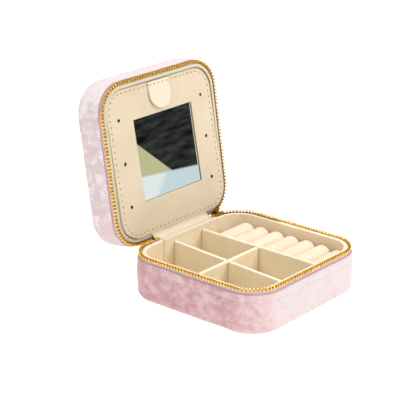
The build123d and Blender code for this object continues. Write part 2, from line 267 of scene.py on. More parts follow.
@dataclass(frozen=True)
class Microsuede(Finish):
    """Brushed microfibre glued over board or foam: matt, softly clouded, with a fine nap."""

    shade: str = "#d9c7a4"
    light: str = "#eadcbe"
    cloud: float = 14.0
    nap: float = 0.7  # real nap is 0.2 mm; drawn as coarse as it needs to show
    relief: float = 0.05

    def lay(self, tree: bpy.types.NodeTree, shader: bpy.types.Node, place: bpy.types.NodeSocket) -> None:
        """Adds clouded colour and nap."""
        clouds = add(
            tree,
            "ShaderNodeTexNoise",
            {"Vector": place, "Scale": 1 / (self.cloud * MM), "Detail": 5.0, "Roughness": 0.6},
        )
        nap = add(
            tree,
            "ShaderNodeTexNoise",
            {"Vector": place, "Scale": 1 / (self.nap * MM), "Detail": 3.0, "Roughness": 0.7},
        )
        blend = add(
            tree,
            "ShaderNodeMath",
            {0: nap.outputs[0], 1: 0.6, 2: clouds.outputs[0]},
            operation="MULTIPLY_ADD",
        )
        colour = add(
            tree,
            "ShaderNodeValToRGB",
            {0: add(tree, "ShaderNodeMapRange", {0: blend.outputs[0], 1: 0.5, 2: 1.1}).outputs[0]},
            stops=((0.0, self.shade), (1.0, self.light)),
        )
        bump = add(
            tree,
            "ShaderNodeBump",
            {"Height": nap.outputs[0], "Distance": self.relief * MM, "Strength": 1.0},
        )
        tree.links.new(colour.outputs[0], shader.inputs["Base Color"])
        tree.links.new(bump.outputs[0], shader.inputs["Normal"])
        shader.inputs["Roughness"].default_value = 0.92
        shader.inputs["Specular IOR Level"].default_value = 0.15
        shader.inputs["Sheen Weight"].default_value = 0.25
        shader.inputs["Sheen Roughness"].default_value = 0.5
        shader.inputs["Sheen Tint"].default_value = linear("#fff6e6")


@dataclass(frozen=True)
class PressedLeather(Finish):
    """Polyurethane leather with a pressed pebble grain: an even colour and a low satin gloss."""

    shade: str = "#c8b79c"
    light: str = "#d2c3aa"
    grain: float = 0.9
    relief: float = 0.05
    gloss: float = 0.55  # the shader's roughness

    def lay(self, tree: bpy.types.NodeTree, shader: bpy.types.Node, place: bpy.types.NodeSocket) -> None:
        """Adds the grain and a faint clouding."""
        pebbles = add(
            tree,
            "ShaderNodeTexVoronoi",
            {"Vector": place, "Scale": 1 / (self.grain * MM), "Randomness": 1.0},
            feature="SMOOTH_F1",
        )
        clouds = add(
            tree,
            "ShaderNodeTexNoise",
            {"Vector": place, "Scale": 1 / (25 * MM), "Detail": 4.0},
        )
        blend = add(
            tree,
            "ShaderNodeMath",
            {0: pebbles.outputs[0], 1: -0.35, 2: clouds.outputs[0]},
            operation="MULTIPLY_ADD",
        )
        colour = add(
            tree,
            "ShaderNodeValToRGB",
            {0: add(tree, "ShaderNodeMapRange", {0: blend.outputs[0], 1: 0.1, 2: 0.6}).outputs[0]},
            stops=((0.0, self.shade), (1.0, self.light)),
        )
        bump = add(
            tree,
            "ShaderNodeBump",
            {"Height": pebbles.outputs[0], "Distance": self.relief * MM, "Strength": 0.8},
            invert=True,
        )
        tree.links.new(colour.outputs[0], shader.inputs["Base Color"])
        tree.links.new(bump.outputs[0], shader.inputs["Normal"])
        shader.inputs["Roughness"].default_value = self.gloss
        shader.inputs["Specular IOR Level"].default_value = 0.35


@dataclass(frozen=True)
class WovenTape(Finish):
    """Polyester zip tape: a fine twill whose ribs run across the tape at a slant."""

    shade: str = "#a5848b"
    light: str = "#d9bcc2"
    rib: float = 0.9  # real twill ribs are 0.5 mm; drawn as coarse as they need to show

    def lay(self, tree: bpy.types.NodeTree, shader: bpy.types.Node, place: bpy.types.NodeSocket) -> None:
        """Adds slanting ribs that follow the tape's own UV map, in metres along and across it."""
        cloth = add(tree, "ShaderNodeUVMap", uv_map="Cloth")
        twill = add(
            tree,
            "ShaderNodeTexWave",
            {"Vector": cloth.outputs[0], "Scale": WAVE_PERIOD / (self.rib * MM), "Distortion": 0.6},
            bands_direction="DIAGONAL",
        )
        fuzz = add(tree, "ShaderNodeTexNoise", {"Vector": place, "Scale": 1 / (1.5 * MM), "Detail": 3.0})
        blend = add(
            tree,
            "ShaderNodeMath",
            {0: fuzz.outputs[0], 1: 0.6, 2: twill.outputs["Fac"]},
            operation="MULTIPLY_ADD",
        )
        colour = add(
            tree,
            "ShaderNodeValToRGB",
            {0: add(tree, "ShaderNodeMapRange", {0: blend.outputs[0], 1: 0.0, 2: 1.4}).outputs[0]},
            stops=((0.0, self.shade), (1.0, self.light)),
        )
        bump = add(
            tree,
            "ShaderNodeBump",
            {"Height": twill.outputs["Fac"], "Distance": 0.12 * MM, "Strength": 0.8},
        )
        tree.links.new(colour.outputs[0], shader.inputs["Base Color"])
        tree.links.new(bump.outputs[0], shader.inputs["Normal"])
        shader.inputs["Roughness"].default_value = 0.85
        shader.inputs["Sheen Weight"].default_value = 0.3
        shader.inputs["Sheen Tint"].default_value = linear("#f6e4e7")


@dataclass(frozen=True)
class PlatedBrass(Finish):
    """Stamped brass plated light gold: a warm mirror-like metal with dull and bright spots."""

    dull: str = "#c98f2a"
    bright: str = "#f8cf62"
    low_gloss: float = 0.36
    high_gloss: float = 0.2
    spot: float = 1.6  # how far apart the tarnished spots are

    def lay(self, tree: bpy.types.NodeTree, shader: bpy.types.Node, place: bpy.types.NodeSocket) -> None:
        """Adds tarnish and gloss that change over a few millimetres."""
        spots = add(
            tree, "ShaderNodeTexNoise", {"Vector": place, "Scale": 1 / (self.spot * MM), "Detail": 4.0}
        )
        colour = add(
            tree,
            "ShaderNodeValToRGB",
            {0: spots.outputs[0]},
            stops=((0.3, self.dull), (0.7, self.bright)),
        )
        gloss = add(
            tree,
            "ShaderNodeMapRange",
            {0: spots.outputs[0], 1: 0.3, 2: 0.7, 3: self.low_gloss, 4: self.high_gloss},
        )
        bump = add(
            tree,
            "ShaderNodeBump",
            {"Height": spots.outputs[0], "Distance": 0.03 * MM, "Strength": 0.5},
        )
        tree.links.new(colour.outputs[0], shader.inputs["Base Color"])
        tree.links.new(gloss.outputs[0], shader.inputs["Roughness"])
        tree.links.new(bump.outputs[0], shader.inputs["Normal"])
        shader.inputs["Metallic"].default_value = 1.0


@dataclass(frozen=True)
class SilveredGlass(Finish):
    """Float glass silvered behind: a clean mirror with the faintest haze of fingermarks."""

    tint: str = "#eaf0ee"

    def lay(self, tree: bpy.types.NodeTree, shader: bpy.types.Node, place: bpy.types.NodeSocket) -> None:
        """Adds a haze that changes slowly over the glass."""
        haze = add(tree, "ShaderNodeTexNoise", {"Vector": place, "Scale": 1 / (18 * MM), "Detail": 3.0})
        gloss = add(
            tree, "ShaderNodeMapRange", {0: haze.outputs[0], 1: 0.4, 2: 0.8, 3: 0.01, 4: 0.035}
        )
        tree.links.new(gloss.outputs[0], shader.inputs["Roughness"])
        shader.inputs["Base Color"].default_value = linear(self.tint)
        shader.inputs["Metallic"].default_value = 1.0


@dataclass(frozen=True)
class Greyboard(Finish):
    """Pressed paper board: matt and warm grey, with short darker fibres."""

    shade: str = "#8f8576"
    light: str = "#b7ad9b"

    def lay(self, tree: bpy.types.NodeTree, shader: bpy.types.Node, place: bpy.types.NodeSocket) -> None:
        """Adds the fibres."""
        squeezed = add(tree, "ShaderNodeMapping", {"Vector": place, "Scale": (1.0, 1.0, 4.0)})
        fibres = add(
            tree,
            "ShaderNodeTexNoise",
            {"Vector": squeezed.outputs[0], "Scale": 1 / (1.2 * MM), "Detail": 6.0, "Roughness": 0.7},
        )
        colour = add(
            tree,
            "ShaderNodeValToRGB",
            {0: fibres.outputs[0]},
            stops=((0.3, self.shade), (0.7, self.light)),
        )
        bump = add(tree, "ShaderNodeBump", {"Height": fibres.outputs[0], "Distance": 0.05 * MM})
        tree.links.new(colour.outputs[0], shader.inputs["Base Color"])
        tree.links.new(bump.outputs[0], shader.inputs["Normal"])
        shader.inputs["Roughness"].default_value = 0.95


@dataclass(frozen=True)
class TwistedThread(Finish):
    """Bonded sewing thread: slightly glossy, with the twist of its plies."""

    shade: str = "#8d6f55"
    light: str = "#b8977a"
    ply: float = 0.4

    def lay(self, tree: bpy.types.NodeTree, shader: bpy.types.Node, place: bpy.types.NodeSocket) -> None:
        """Adds the plies."""
        plies = add(
            tree,
            "ShaderNodeTexWave",
            {"Vector": place, "Scale": WAVE_PERIOD / (self.ply * MM)},
            bands_direction="DIAGONAL",
        )
        colour = add(
            tree,
            "ShaderNodeValToRGB",
            {0: plies.outputs["Fac"]},
            stops=((0.0, self.shade), (1.0, self.light)),
        )
        bump = add(tree, "ShaderNodeBump", {"Height": plies.outputs["Fac"], "Distance": 0.05 * MM})
        tree.links.new(colour.outputs[0], shader.inputs["Base Color"])
        tree.links.new(bump.outputs[0], shader.inputs["Normal"])
        shader.inputs["Roughness"].default_value = 0.6


VELVET = CrushedVelvet("crushed_velvet_dusty_pink")
# the lid's velvet is paler all over, and through lean its top faces are painted paler still, as light
# from above would leave them
LID_VELVET = CrushedVelvet(
    "crushed_velvet_lid_pale_painted_lit_top",
    shade="#c2aaab",
    middle="#c5b3b3",
    light="#e3d8d8",
    patch=9.0,
    lean=(0.0, -0.1, 1.0),
    painted_light_share=0.6,
    dark_at=0.45,
    light_at=2.0,
)
WALL_SUEDE = Microsuede("microsuede_cream", shade="#e4d2b0", light="#f2e4c8")
# painted light: a paler copy of the cream suede for top faces, as light from above leaves them
LIT_TOP_SUEDE = Microsuede("microsuede_cream_painted_lit_top", shade="#ebe2c8", light="#f7f0dc")
# painted shade: a darker, greyer copy of the cream suede for the lid's lip
SHADED_LID_LIP_SUEDE = Microsuede("microsuede_cream_lid_lip_painted_shade", shade="#bdb69e", light="#cbc5ae")
# painted shadow: a dark brown suede for the gap line between the lid's lip and the mirror panel
GAP_SHADOW_SUEDE = Microsuede("microsuede_painted_gap_shadow", shade="#6f6048", light="#94846a", cloud=4.0)
HINGE_SUEDE = Microsuede("microsuede_cream_hinge", shade="#dccdb2", light="#e8dbc4")
ROLL_SUEDE = Microsuede("microsuede_peach_rolls", shade="#efd3b8", light="#f6e2cc", cloud=9.0)
PANEL_LEATHER = PressedLeather("leather_pressed_beige")
TAB_LEATHER = PressedLeather(
    "leather_smooth_peach", shade="#dccab3", light="#e3d3be", relief=0.02, gloss=0.5
)
TAPE = WovenTape("woven_zip_tape_mauve")
BRASS = PlatedBrass("plated_brass_teeth")
# painted shade: a darker copy of the teeth's brass, for the slider that sits in shade behind the rim
SHADED_SLIDER_BRASS = PlatedBrass("plated_brass_slider_painted_shade", dull="#6e5426", bright="#b8954a")
GLASS = SilveredGlass("silvered_glass")
BOARD = Greyboard("greyboard")
DARK_BOARD = Greyboard("greyboard_dark", shade="#2b2723", light="#463f38")
# partly the raw edge's own darker colour, partly painted shade for the walls of the holes and of the
# mirror's opening
CUT_EDGE_AND_HOLE_SHADE_LEATHER = PressedLeather("leather_cut_edge_and_painted_hole_shade", shade="#6b573d", light="#8f7958")
THREAD = TwistedThread("sewing_thread_rose")


# ---- the box's plan shape and its hinge ----


class Station(NamedTuple):
    """A point of the plan outline, with the direction that points out of the box there."""

    place: Vector
    out: Vector

    def at(self, inset: float, height: float) -> Vector:
        """Returns the point at an inset and a height, both in mm, as metres."""
        x, y = self.place.xy - self.out.xy * inset
        return Vector((x, y, height)) * MM


@dataclass(frozen=True)
class Outline:
    """The box's plan shape, a rectangle with round corners, in mm."""

    half_width: float
    half_depth: float
    radius: float

    def corner(self, turn: float) -> Station:
        """Returns the station on a round corner whose outward direction has this angle."""
        out = Vector((math.cos(turn), math.sin(turn), 0))
        centre = Vector(
            (
                math.copysign(self.half_width - self.radius, out.x),
                math.copysign(self.half_depth - self.radius, out.y),
                0,
            )
        )
        return Station(centre + out * self.radius, out)

    def loop(self, side_steps: int, corner_steps: int) -> list[Station]:
        """Goes once round, anticlockwise seen from above.

        Args:
            side_steps: the steps on each straight side.
            corner_steps: the steps on each round corner.

        Returns:
            The stations, from the right side's front end.
        """
        stations = []
        for quarter in range(4):
            start = quarter * math.pi / 2
            first = self.corner(start - 0.0001)
            last = self.corner(start + 0.0001)
            out = Vector((math.cos(start), math.sin(start), 0))
            for i in range(side_steps):
                stations.append(Station(first.place.lerp(last.place, i / side_steps), out))
            for i in range(corner_steps):
                stations.append(self.corner(start + 0.0001 + (math.pi / 2 - 0.0002) * i / corner_steps))
        return stations

    def route(self, first_x: float, last_x: float, step: float) -> list[Station]:
        """Goes clockwise from a place on the back edge to another, round the front.

        Args:
            first_x: where the route starts, right of last_x.
            last_x: where it ends.
            step: about how far apart the stations are.

        Returns:
            The stations, the two ends among them.
        """
        arc_steps = max(4, round(self.radius * math.pi / 2 / step))
        knots = [Station(Vector((first_x, self.half_depth, 0)), Vector((0, 1, 0)))]
        for quarter in range(4):
            start = math.pi / 2 * (1 - quarter) - 0.0001
            turn = math.pi / 2 - 0.0002
            knots += [self.corner(start - turn * i / arc_steps) for i in range(arc_steps + 1)]
        knots.append(Station(Vector((last_x, self.half_depth, 0)), Vector((0, 1, 0))))
        stations = []
        for a, b in zip(knots, knots[1:]):
            count = max(1, round((b.place - a.place).length / step))
            for i in range(count):
                stations.append(
                    Station(a.place.lerp(b.place, i / count), a.out.lerp(b.out, i / count).normalized())
                )
        return stations + knots[-1:]

    def inset_of(self, point: Vector) -> float:
        """Returns how far inside the outline a point is, both in metres."""
        x = max(abs(point.x) / MM - (self.half_width - self.radius), 0.0)
        y = max(abs(point.y) / MM - (self.half_depth - self.radius), 0.0)
        return (self.radius - math.hypot(x, y)) * MM

    def pull_in(self, point: Vector, inset: float) -> Vector:
        """Moves a point, in metres, straight in until it is inside the outline at that inset."""
        x, y = point.x / MM, point.y / MM
        core = Vector(
            (
                max(-self.half_width + self.radius, min(self.half_width - self.radius, x)),
                max(-self.half_depth + self.radius, min(self.half_depth - self.radius, y)),
            )
        )
        away = Vector((x, y)) - core
        reach = self.radius - inset
        if away.length > reach:
            away = away.normalized() * reach
        return Vector(((core.x + away.x) * MM, (core.y + away.y) * MM, point.z))


@dataclass(frozen=True)
class Hinge:
    """The lid's hinge line, and the turn from the closed lid to the open one."""

    place: Vector
    turn: float

    @classmethod
    def of_frame(cls) -> "Hinge":
        """Reads the hinge from the frame's joint."""
        joint = next(j for j in frame["joints"] if j["name"] == "lid_hinge")
        return cls(Vector(joint["pos_m"]), math.radians(joint["range_deg"][0]))

    def opening(self) -> Matrix:
        """Returns the matrix that turns a piece from closed to open."""
        there = Matrix.Translation(self.place)
        return there @ Matrix.Rotation(self.turn, 4, "X") @ there.inverted()

    def closed_box(self, node: str, seat: Matrix | None = None) -> tuple[Vector, Vector]:
        """Finds a lid node's box as it was drawn, with the lid closed.

        Args:
            node: the CAD node's name.
            seat: the matrix that put it in place, where that isn't the lid's opening alone.

        Returns:
            The box's lowest and highest corners, in mm.
        """
        back = (seat or self.opening()).inverted()
        points = [back @ v.co for v in frame["nodes"][node].data.vertices]
        low = Vector([min(p[i] for p in points) for i in range(3)])
        high = Vector([max(p[i] for p in points) for i in range(3)])
        return low / MM, high / MM


# ---- meshes ----


def arc(
    centre: tuple[float, float], radius: float, start: float, end: float, steps: int
) -> list[tuple[float, float]]:
    """Points of a round stretch of a section.

    Args:
        centre: the arc's centre.
        radius: its radius.
        start: the angle of its first point, in degrees.
        end: the angle of its last point.
        steps: how many steps it has.

    Returns:
        The points, both ends among them.
    """
    angles = [math.radians(start + (end - start) * i / steps) for i in range(steps + 1)]
    return [(centre[0] + radius * math.cos(a), centre[1] + radius * math.sin(a)) for a in angles]


def run(first: tuple[float, float], last: tuple[float, float], step: float) -> list[tuple[float, float]]:
    """Points of a straight stretch of a section, without its last one."""
    count = max(1, round(math.dist(first, last) / step))
    return [
        tuple(a + (b - a) * i / count for a, b in zip(first, last)) for i in range(count)
    ]


def wrap(
    stations: Sequence[Station],
    section: Callable[[Station], Section],
    closed_round: bool,
    closed_section: bool,
) -> bmesh.types.BMesh:
    """Carries a wall's section along the outline.

    Args:
        stations: where the section stands.
        section: gives the section's points at a station, always as many.
        closed_round: whether the last station joins the first.
        closed_section: whether the section's last point joins its first.

    Returns:
        The mesh, with a UV map named Cloth in metres along and across.
    """
    made = bmesh.new()
    rows = [[made.verts.new(s.at(*p)) for p in section(s)] for s in stations]
    along = [0.0]
    for a, b in zip(stations, [*stations[1:], stations[0]]):
        along.append(along[-1] + (b.place - a.place).length * MM)
    across = [0.0]
    first = section(stations[0])
    for a, b in zip(first, [*first[1:], first[0]]):
        across.append(across[-1] + math.dist(a, b) * MM)
    cloth = made.loops.layers.uv.new("Cloth")
    for i in range(len(rows) if closed_round else len(rows) - 1):
        near, far = rows[i], rows[(i + 1) % len(rows)]
        for j in range(len(near) if closed_section else len(near) - 1):
            k = (j + 1) % len(near)
            face = made.faces.new((near[j], far[j], far[k], near[k]))
            places = ((i, j), (i + 1, j), (i + 1, j + 1), (i, j + 1))
            for corner, (u, v) in zip(face.loops, places):
                corner[cloth].uv = (along[u], across[v])
    if closed_section and not closed_round:
        made.faces.new(rows[0])
        made.faces.new(rows[-1])
    return made


def close_flat(made: bmesh.types.BMesh, outline: Outline, steps: int, height: float) -> None:
    """Fills a shell's flat face inside its round corners with a grid, and joins it to the wall.

    Args:
        made: the shell.
        outline: its plan shape.
        steps: the steps along each side of the grid, as many as the wall has.
        height: the face's height, in mm.
    """
    x, y = outline.half_width - outline.radius, outline.half_depth - outline.radius
    grid = [
        [
            made.verts.new(Vector((x * (2 * i / steps - 1), y * (2 * j / steps - 1), height)) * MM)
            for j in range(steps + 1)
        ]
        for i in range(steps + 1)
    ]
    for a, b in zip(grid, grid[1:]):
        for j in range(steps):
            made.faces.new((a[j], b[j], b[j + 1], a[j + 1]))


def crumple(made: bmesh.types.BMesh, size: float, height: float, seed: float) -> None:
    """Moves a mesh's points along their normals, as padding and glue leave cloth uneven.

    Args:
        made: the mesh.
        size: how far apart the humps are, in mm.
        height: how high they are, in mm.
        seed: which humps it gets.
    """
    made.normal_update()
    moves = [
        v.normal * noise.fractal((v.co / (size * MM)) + Vector((seed, 0, 0)), 0.8, 2.2, 3) * height * MM
        for v in made.verts
    ]
    for v, move in zip(made.verts, moves):
        v.co += move


def piece_of(
    name: str,
    made: bmesh.types.BMesh,
    finish: Finish,
    place: Matrix | None = None,
    crease: float = 40.0,
) -> bpy.types.Object:
    """Turns a mesh in the making into a piece.

    Args:
        name: the piece's name.
        made: the mesh, which is used up.
        finish: its finish.
        place: a matrix that puts it in place.
        crease: edges that turn by more than this many degrees stay sharp.

    Returns:
        The piece, at the origin.
    """
    bmesh.ops.remove_doubles(made, verts=made.verts, dist=MERGE)
    bmesh.ops.recalc_face_normals(made, faces=made.faces)
    if place is not None:
        made.transform(place)
    mesh = bpy.data.meshes.new(name)
    made.to_mesh(mesh)
    made.free()
    mesh.shade_smooth()
    mesh.set_sharp_from_angle(angle=math.radians(crease))
    mesh.materials.append(finish.material())
    piece = bpy.data.objects.new(name, mesh)
    bpy.context.scene.collection.objects.link(piece)
    return piece


def copied(node: str, name: str, finish: Finish) -> bpy.types.Object:
    """Makes a piece from a CAD node's shape, with merged points and whole flat faces."""
    made = bmesh.new()
    made.from_mesh(frame["nodes"][node].data)
    bmesh.ops.remove_doubles(made, verts=made.verts, dist=MERGE)
    bmesh.ops.dissolve_limit(
        made, angle_limit=math.radians(1), verts=made.verts, edges=made.edges
    )
    return piece_of(name, made, finish, crease=35)


def soften(piece: bpy.types.Object, width: float, segments: int, angle: float = 35.0) -> None:
    """Rounds a piece's sharp edges.

    Args:
        piece: the piece.
        width: the rounding's width, in mm.
        segments: its steps.
        angle: edges that turn by more than this many degrees are rounded.
    """
    bevel = piece.modifiers.new("rounded_edges", "BEVEL")
    bevel.width = width * MM
    bevel.segments = segments
    bevel.limit_method = "ANGLE"
    bevel.angle_limit = math.radians(angle)
    bevel.harden_normals = True


def refine(piece: bpy.types.Object, levels: int) -> None:
    """Adds a subdivision surface."""
    smooth = piece.modifiers.new("smooth", "SUBSURF")
    smooth.levels = levels
    smooth.render_levels = levels


def edge_with(
    piece: bpy.types.Object, finish: Finish, is_edge: Callable[[Vector, Vector], bool]
) -> None:
    """Gives some of a piece's faces a second finish.

    Args:
        piece: the piece.
        finish: the second finish.
        is_edge: tells from a face's centre and normal, in metres, whether it gets the finish.
    """
    piece.data.materials.append(finish.material())
    for face in piece.data.polygons:
        if is_edge(face.center, face.normal):
            face.material_index = 1


def settle(piece: bpy.types.Object, body: str, slot: str, *nodes: str) -> bpy.types.Object:
    """Puts a finished piece on its body in the place of CAD nodes, and reports it."""
    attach(piece, body)
    if nodes:
        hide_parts(*nodes)
    LOG.info("%s rides on %s, stands for %s", piece.name, body, ", ".join(nodes) or "nothing")
    return piece


def dress(node: str, finish: Finish) -> None:
    """Gives a CAD node that stays its finish."""
    for slot in frame["nodes"][node].material_slots:
        slot.material = finish.material()
    LOG.info("%s is finished in %s", node, finish.name)


# ---- rows of small pieces along a path ----


class RowInput(Enum):
    """The named inputs of the tree that stands pieces in a row."""

    START = ("Start", "NodeSocketFloat")
    FINISH = ("Finish", "NodeSocketFloat")
    COUNT = ("Count", "NodeSocketInt")
    UNEVEN = ("Unevenness", "NodeSocketFloat")
    PIECE = ("Piece", "NodeSocketObject")
    MATERIAL = ("Material", "NodeSocketMaterial")


@dataclass
class RowMaker:
    """Stands copies of a small piece at even distances along a path, with Geometry Nodes."""

    seed: int = 5

    def __post_init__(self) -> None:
        """Builds the tree once."""
        self.tree = bpy.data.node_groups.new("row_along_path", "GeometryNodeTree")
        face = self.tree.interface
        face.new_socket("Path", in_out="INPUT", socket_type="NodeSocketGeometry")
        self.sockets = {
            i: face.new_socket(i.value[0], in_out="INPUT", socket_type=i.value[1]) for i in RowInput
        }
        face.new_socket("Row", in_out="OUTPUT", socket_type="NodeSocketGeometry")
        given = add(self.tree, "NodeGroupInput").outputs
        curve = add(self.tree, "GeometryNodeMeshToCurve", {"Mesh": given["Path"]})
        part = add(self.tree, "GeometryNodeTrimCurve", {"Curve": curve.outputs[0]}, mode="LENGTH")
        self.tree.links.new(given["Start"], part.inputs[4])
        self.tree.links.new(given["Finish"], part.inputs[5])
        points = add(
            self.tree,
            "GeometryNodeCurveToPoints",
            {"Curve": part.outputs[0], "Count": given["Count"]},
            mode="COUNT",
        )
        heading = add(
            self.tree,
            "FunctionNodeAlignRotationToVector",
            {"Vector": points.outputs["Tangent"]},
            axis="X",
            pivot_axis="Z",
        )
        low = add(self.tree, "ShaderNodeMath", {0: 1.0, 1: given["Unevenness"]}, operation="SUBTRACT")
        high = add(self.tree, "ShaderNodeMath", {0: 1.0, 1: given["Unevenness"]}, operation="ADD")
        size = add(
            self.tree,
            "FunctionNodeRandomValue",
            {2: low.outputs[0], 3: high.outputs[0], "Seed": self.seed},
            data_type="FLOAT",
        )
        template = add(self.tree, "GeometryNodeObjectInfo", {"Object": given["Piece"]})
        stood = add(
            self.tree,
            "GeometryNodeInstanceOnPoints",
            {
                "Points": points.outputs["Points"],
                "Instance": template.outputs["Geometry"],
                "Rotation": heading.outputs[0],
                "Scale": size.outputs[1],
            },
        )
        real = add(self.tree, "GeometryNodeRealizeInstances", {"Geometry": stood.outputs[0]})
        painted = add(
            self.tree,
            "GeometryNodeSetMaterial",
            {"Geometry": real.outputs[0], "Material": given["Material"]},
        )
        add(self.tree, "NodeGroupOutput", {"Row": painted.outputs[0]})

    def make(
        self,
        name: str,
        template: bpy.types.Object,
        path: Sequence[Vector],
        reach: tuple[float, float],
        count: int,
        finish: Finish,
        uneven: float = 0.0,
        place: Matrix | None = None,
    ) -> bpy.types.Object:
        """Makes one row as a plain mesh.

        Args:
            name: the row's name.
            template: the piece that is repeated, at the origin and along X.
            path: the path's points, in metres.
            reach: where on the path the first and the last copy stand, in mm.
            count: how many copies there are.
            finish: their finish.
            uneven: how much their sizes differ, as a share.
            place: a matrix that puts the row in place.

        Returns:
            The row, at the origin.
        """
        host_mesh = bpy.data.meshes.new(f"{name}_path")
        host_mesh.from_pydata(path, [(i, i + 1) for i in range(len(path) - 1)], [])
        host = bpy.data.objects.new(f"{name}_path", host_mesh)
        bpy.context.scene.collection.objects.link(host)
        nodes = host.modifiers.new("row", "NODES")
        nodes.node_group = self.tree
        values = {
            RowInput.START: reach[0] * MM,
            RowInput.FINISH: reach[1] * MM,
            RowInput.COUNT: count,
            RowInput.UNEVEN: uneven,
            RowInput.PIECE: template,
            RowInput.MATERIAL: finish.material(),
        }
        for key, value in values.items():
            nodes[self.sockets[key].identifier] = value
        bpy.context.view_layer.update()
        ready = host.evaluated_get(bpy.context.evaluated_depsgraph_get())
        mesh = bpy.data.meshes.new_from_object(ready)
        bpy.data.objects.remove(host)
        mesh.name = name
        if place is not None:
            mesh.transform(place)
        mesh.shade_smooth()
        mesh.set_sharp_from_angle(angle=math.radians(35))
        row = bpy.data.objects.new(name, mesh)
        bpy.context.scene.collection.objects.link(row)
        return row


# ---- the box ----


@dataclass
class BoxSizes:
    """The sizes that all sub-assemblies share, in mm."""

    corner_radius: float = 19.0
    cover: float = 1.0  # velvet on its foam
    hem: float = 0.3
    wall: float = 2.9
    collar: float = 1.3
    tape_hidden: float = 6.0
    panel_face: float = 28.08  # height of the middle of the panel's face with the lid closed
    panel_lean: float = 1.7  # degrees: the panel's hinged edge stands out, its tab edge sits deeper

    def __post_init__(self) -> None:
        """Takes the overall sizes from the frame."""
        self.hinge = Hinge.of_frame()
        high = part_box("base_cover")[1]
        self.outline = Outline(high.x / MM, high.y / MM, self.corner_radius)
        self.tray_rim = high.z / MM
        lid_low, lid_high = self.hinge.closed_box("lid_cover")
        self.lid_rim = lid_low.z
        self.lid_top = lid_high.z
        strip_low, strip_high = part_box("hinge_strip")
        self.strip = (strip_low.x / MM, strip_high.x / MM)

    def panel_seat(self) -> Matrix:
        """Returns the matrix that leans a level panel piece and opens it with the lid."""
        middle = Matrix.Translation((0, 0, self.panel_face * MM))
        lean = middle @ Matrix.Rotation(math.radians(-self.panel_lean), 4, "X") @ middle.inverted()
        return self.hinge.opening() @ lean

    @property
    def collar_inset(self) -> float:
        """Inset of the collar's outer face."""
        return self.cover + self.wall

    @property
    def inner_inset(self) -> float:
        """Inset of the collar's inner face."""
        return self.collar_inset + self.collar


@dataclass
class VelvetCovers:
    """The velvet skins of the tray and the lid, each turned in round a hem at the zip."""

    sizes: BoxSizes
    tray_edge: float = 3.2
    lid_edge: float = 4.3
    side_steps: int = 30
    corner_steps: int = 14
    step: float = 1.5
    roll: float = 0.62  # radius of the hem's turned edge
    seam_drop: float = 4.2  # the board's edge shows through this far from the hem
    seam_depth: float = 0.34
    seam_width: float = 0.55
    belly: float = 0.25  # padding makes the walls stand out this far

    def section(self, rim: float, far: float, edge: float) -> Section:
        """The skin's section from its inner face round the hem to its outer face.

        Args:
            rim: height of the hem's edge.
            far: height of the closed face, on either side of the rim.
            edge: radius of the outer edge between the wall and the closed face.

        Returns:
            The section, which starts and ends where the round corners' centres are.
        """
        size = self.sizes
        up = 1 if rim > far else -1
        skin = size.cover
        neck = skin + size.hem
        inner = far + up * skin
        points = run((size.corner_radius, inner), (edge, inner), self.step)
        points += arc((edge, inner + up * (edge - skin)), edge - skin, -90 * up, -180 * up, 4)[:-1]
        points += run((skin, far + up * edge), (skin, rim - up * size.tape_hidden), self.step)
        points += run((neck, rim - up * size.tape_hidden), (neck, rim - up * self.roll), self.step)
        points += arc((neck - self.roll, rim - up * self.roll), self.roll, 0, 180 * up, 8)[:-1]
        top, low = rim - up * self.roll, far + up * edge
        for inset, height in run((neck - 2 * self.roll, top), (0.0, low), self.step / 3):
            share = (top - height) / (top - low)
            groove = math.exp(-(((abs(rim - height) - self.seam_drop) / self.seam_width) ** 2))
            swell = self.belly * math.sin(math.pi * share)
            points.append((inset * (1 - share) + self.seam_depth * groove - swell, height))
        points += arc((edge, far + up * edge), edge, 180 * up, 270 * up, 8)[:-1]
        points += run((edge, far), (size.corner_radius, far), self.step)
        points.append((size.corner_radius, far))
        return points

    def skin(
        self, name: str, rim: float, far: float, edge: float, seed: float, place: Matrix | None
    ) -> bpy.types.Object:
        """Makes one skin.

        Args:
            name: the piece's name.
            rim: height of the hem's edge.
            far: height of the closed face.
            edge: radius of the outer edge.
            seed: which unevenness it gets.
            place: a matrix that puts it in place.

        Returns:
            The piece.
        """
        section = self.section(rim, far, edge)
        stations = self.sizes.outline.loop(self.side_steps, self.corner_steps)
        made = wrap(stations, lambda station: section, True, False)
        for _, height in (section[0], section[-1]):
            close_flat(made, self.sizes.outline, self.side_steps, height)
        bmesh.ops.remove_doubles(made, verts=made.verts, dist=MERGE)
        bmesh.ops.recalc_face_normals(made, faces=made.faces)
        crumple(made, 16.0, 0.16, seed)
        crumple(made, 4.5, 0.06, seed + 9)
        for v in made.verts:
            v.co.z = max(v.co.z, 0.0)
        piece = piece_of(name, made, LID_VELVET if place else VELVET, place, crease=180)
        refine(piece, 1)
        return piece

    def build(self) -> None:
        """Makes both skins."""
        size = self.sizes
        tray = self.skin("velvet_tray_cover", size.tray_rim, 0.0, self.tray_edge, 1.0, None)
        settle(tray, "base", "velvet", "base_cover")
        opening = size.hinge.opening()
        lid = self.skin("velvet_lid_cover", size.lid_rim, size.lid_top, self.lid_edge, 4.0, opening)
        settle(lid, "lid", "velvet", "lid_cover")


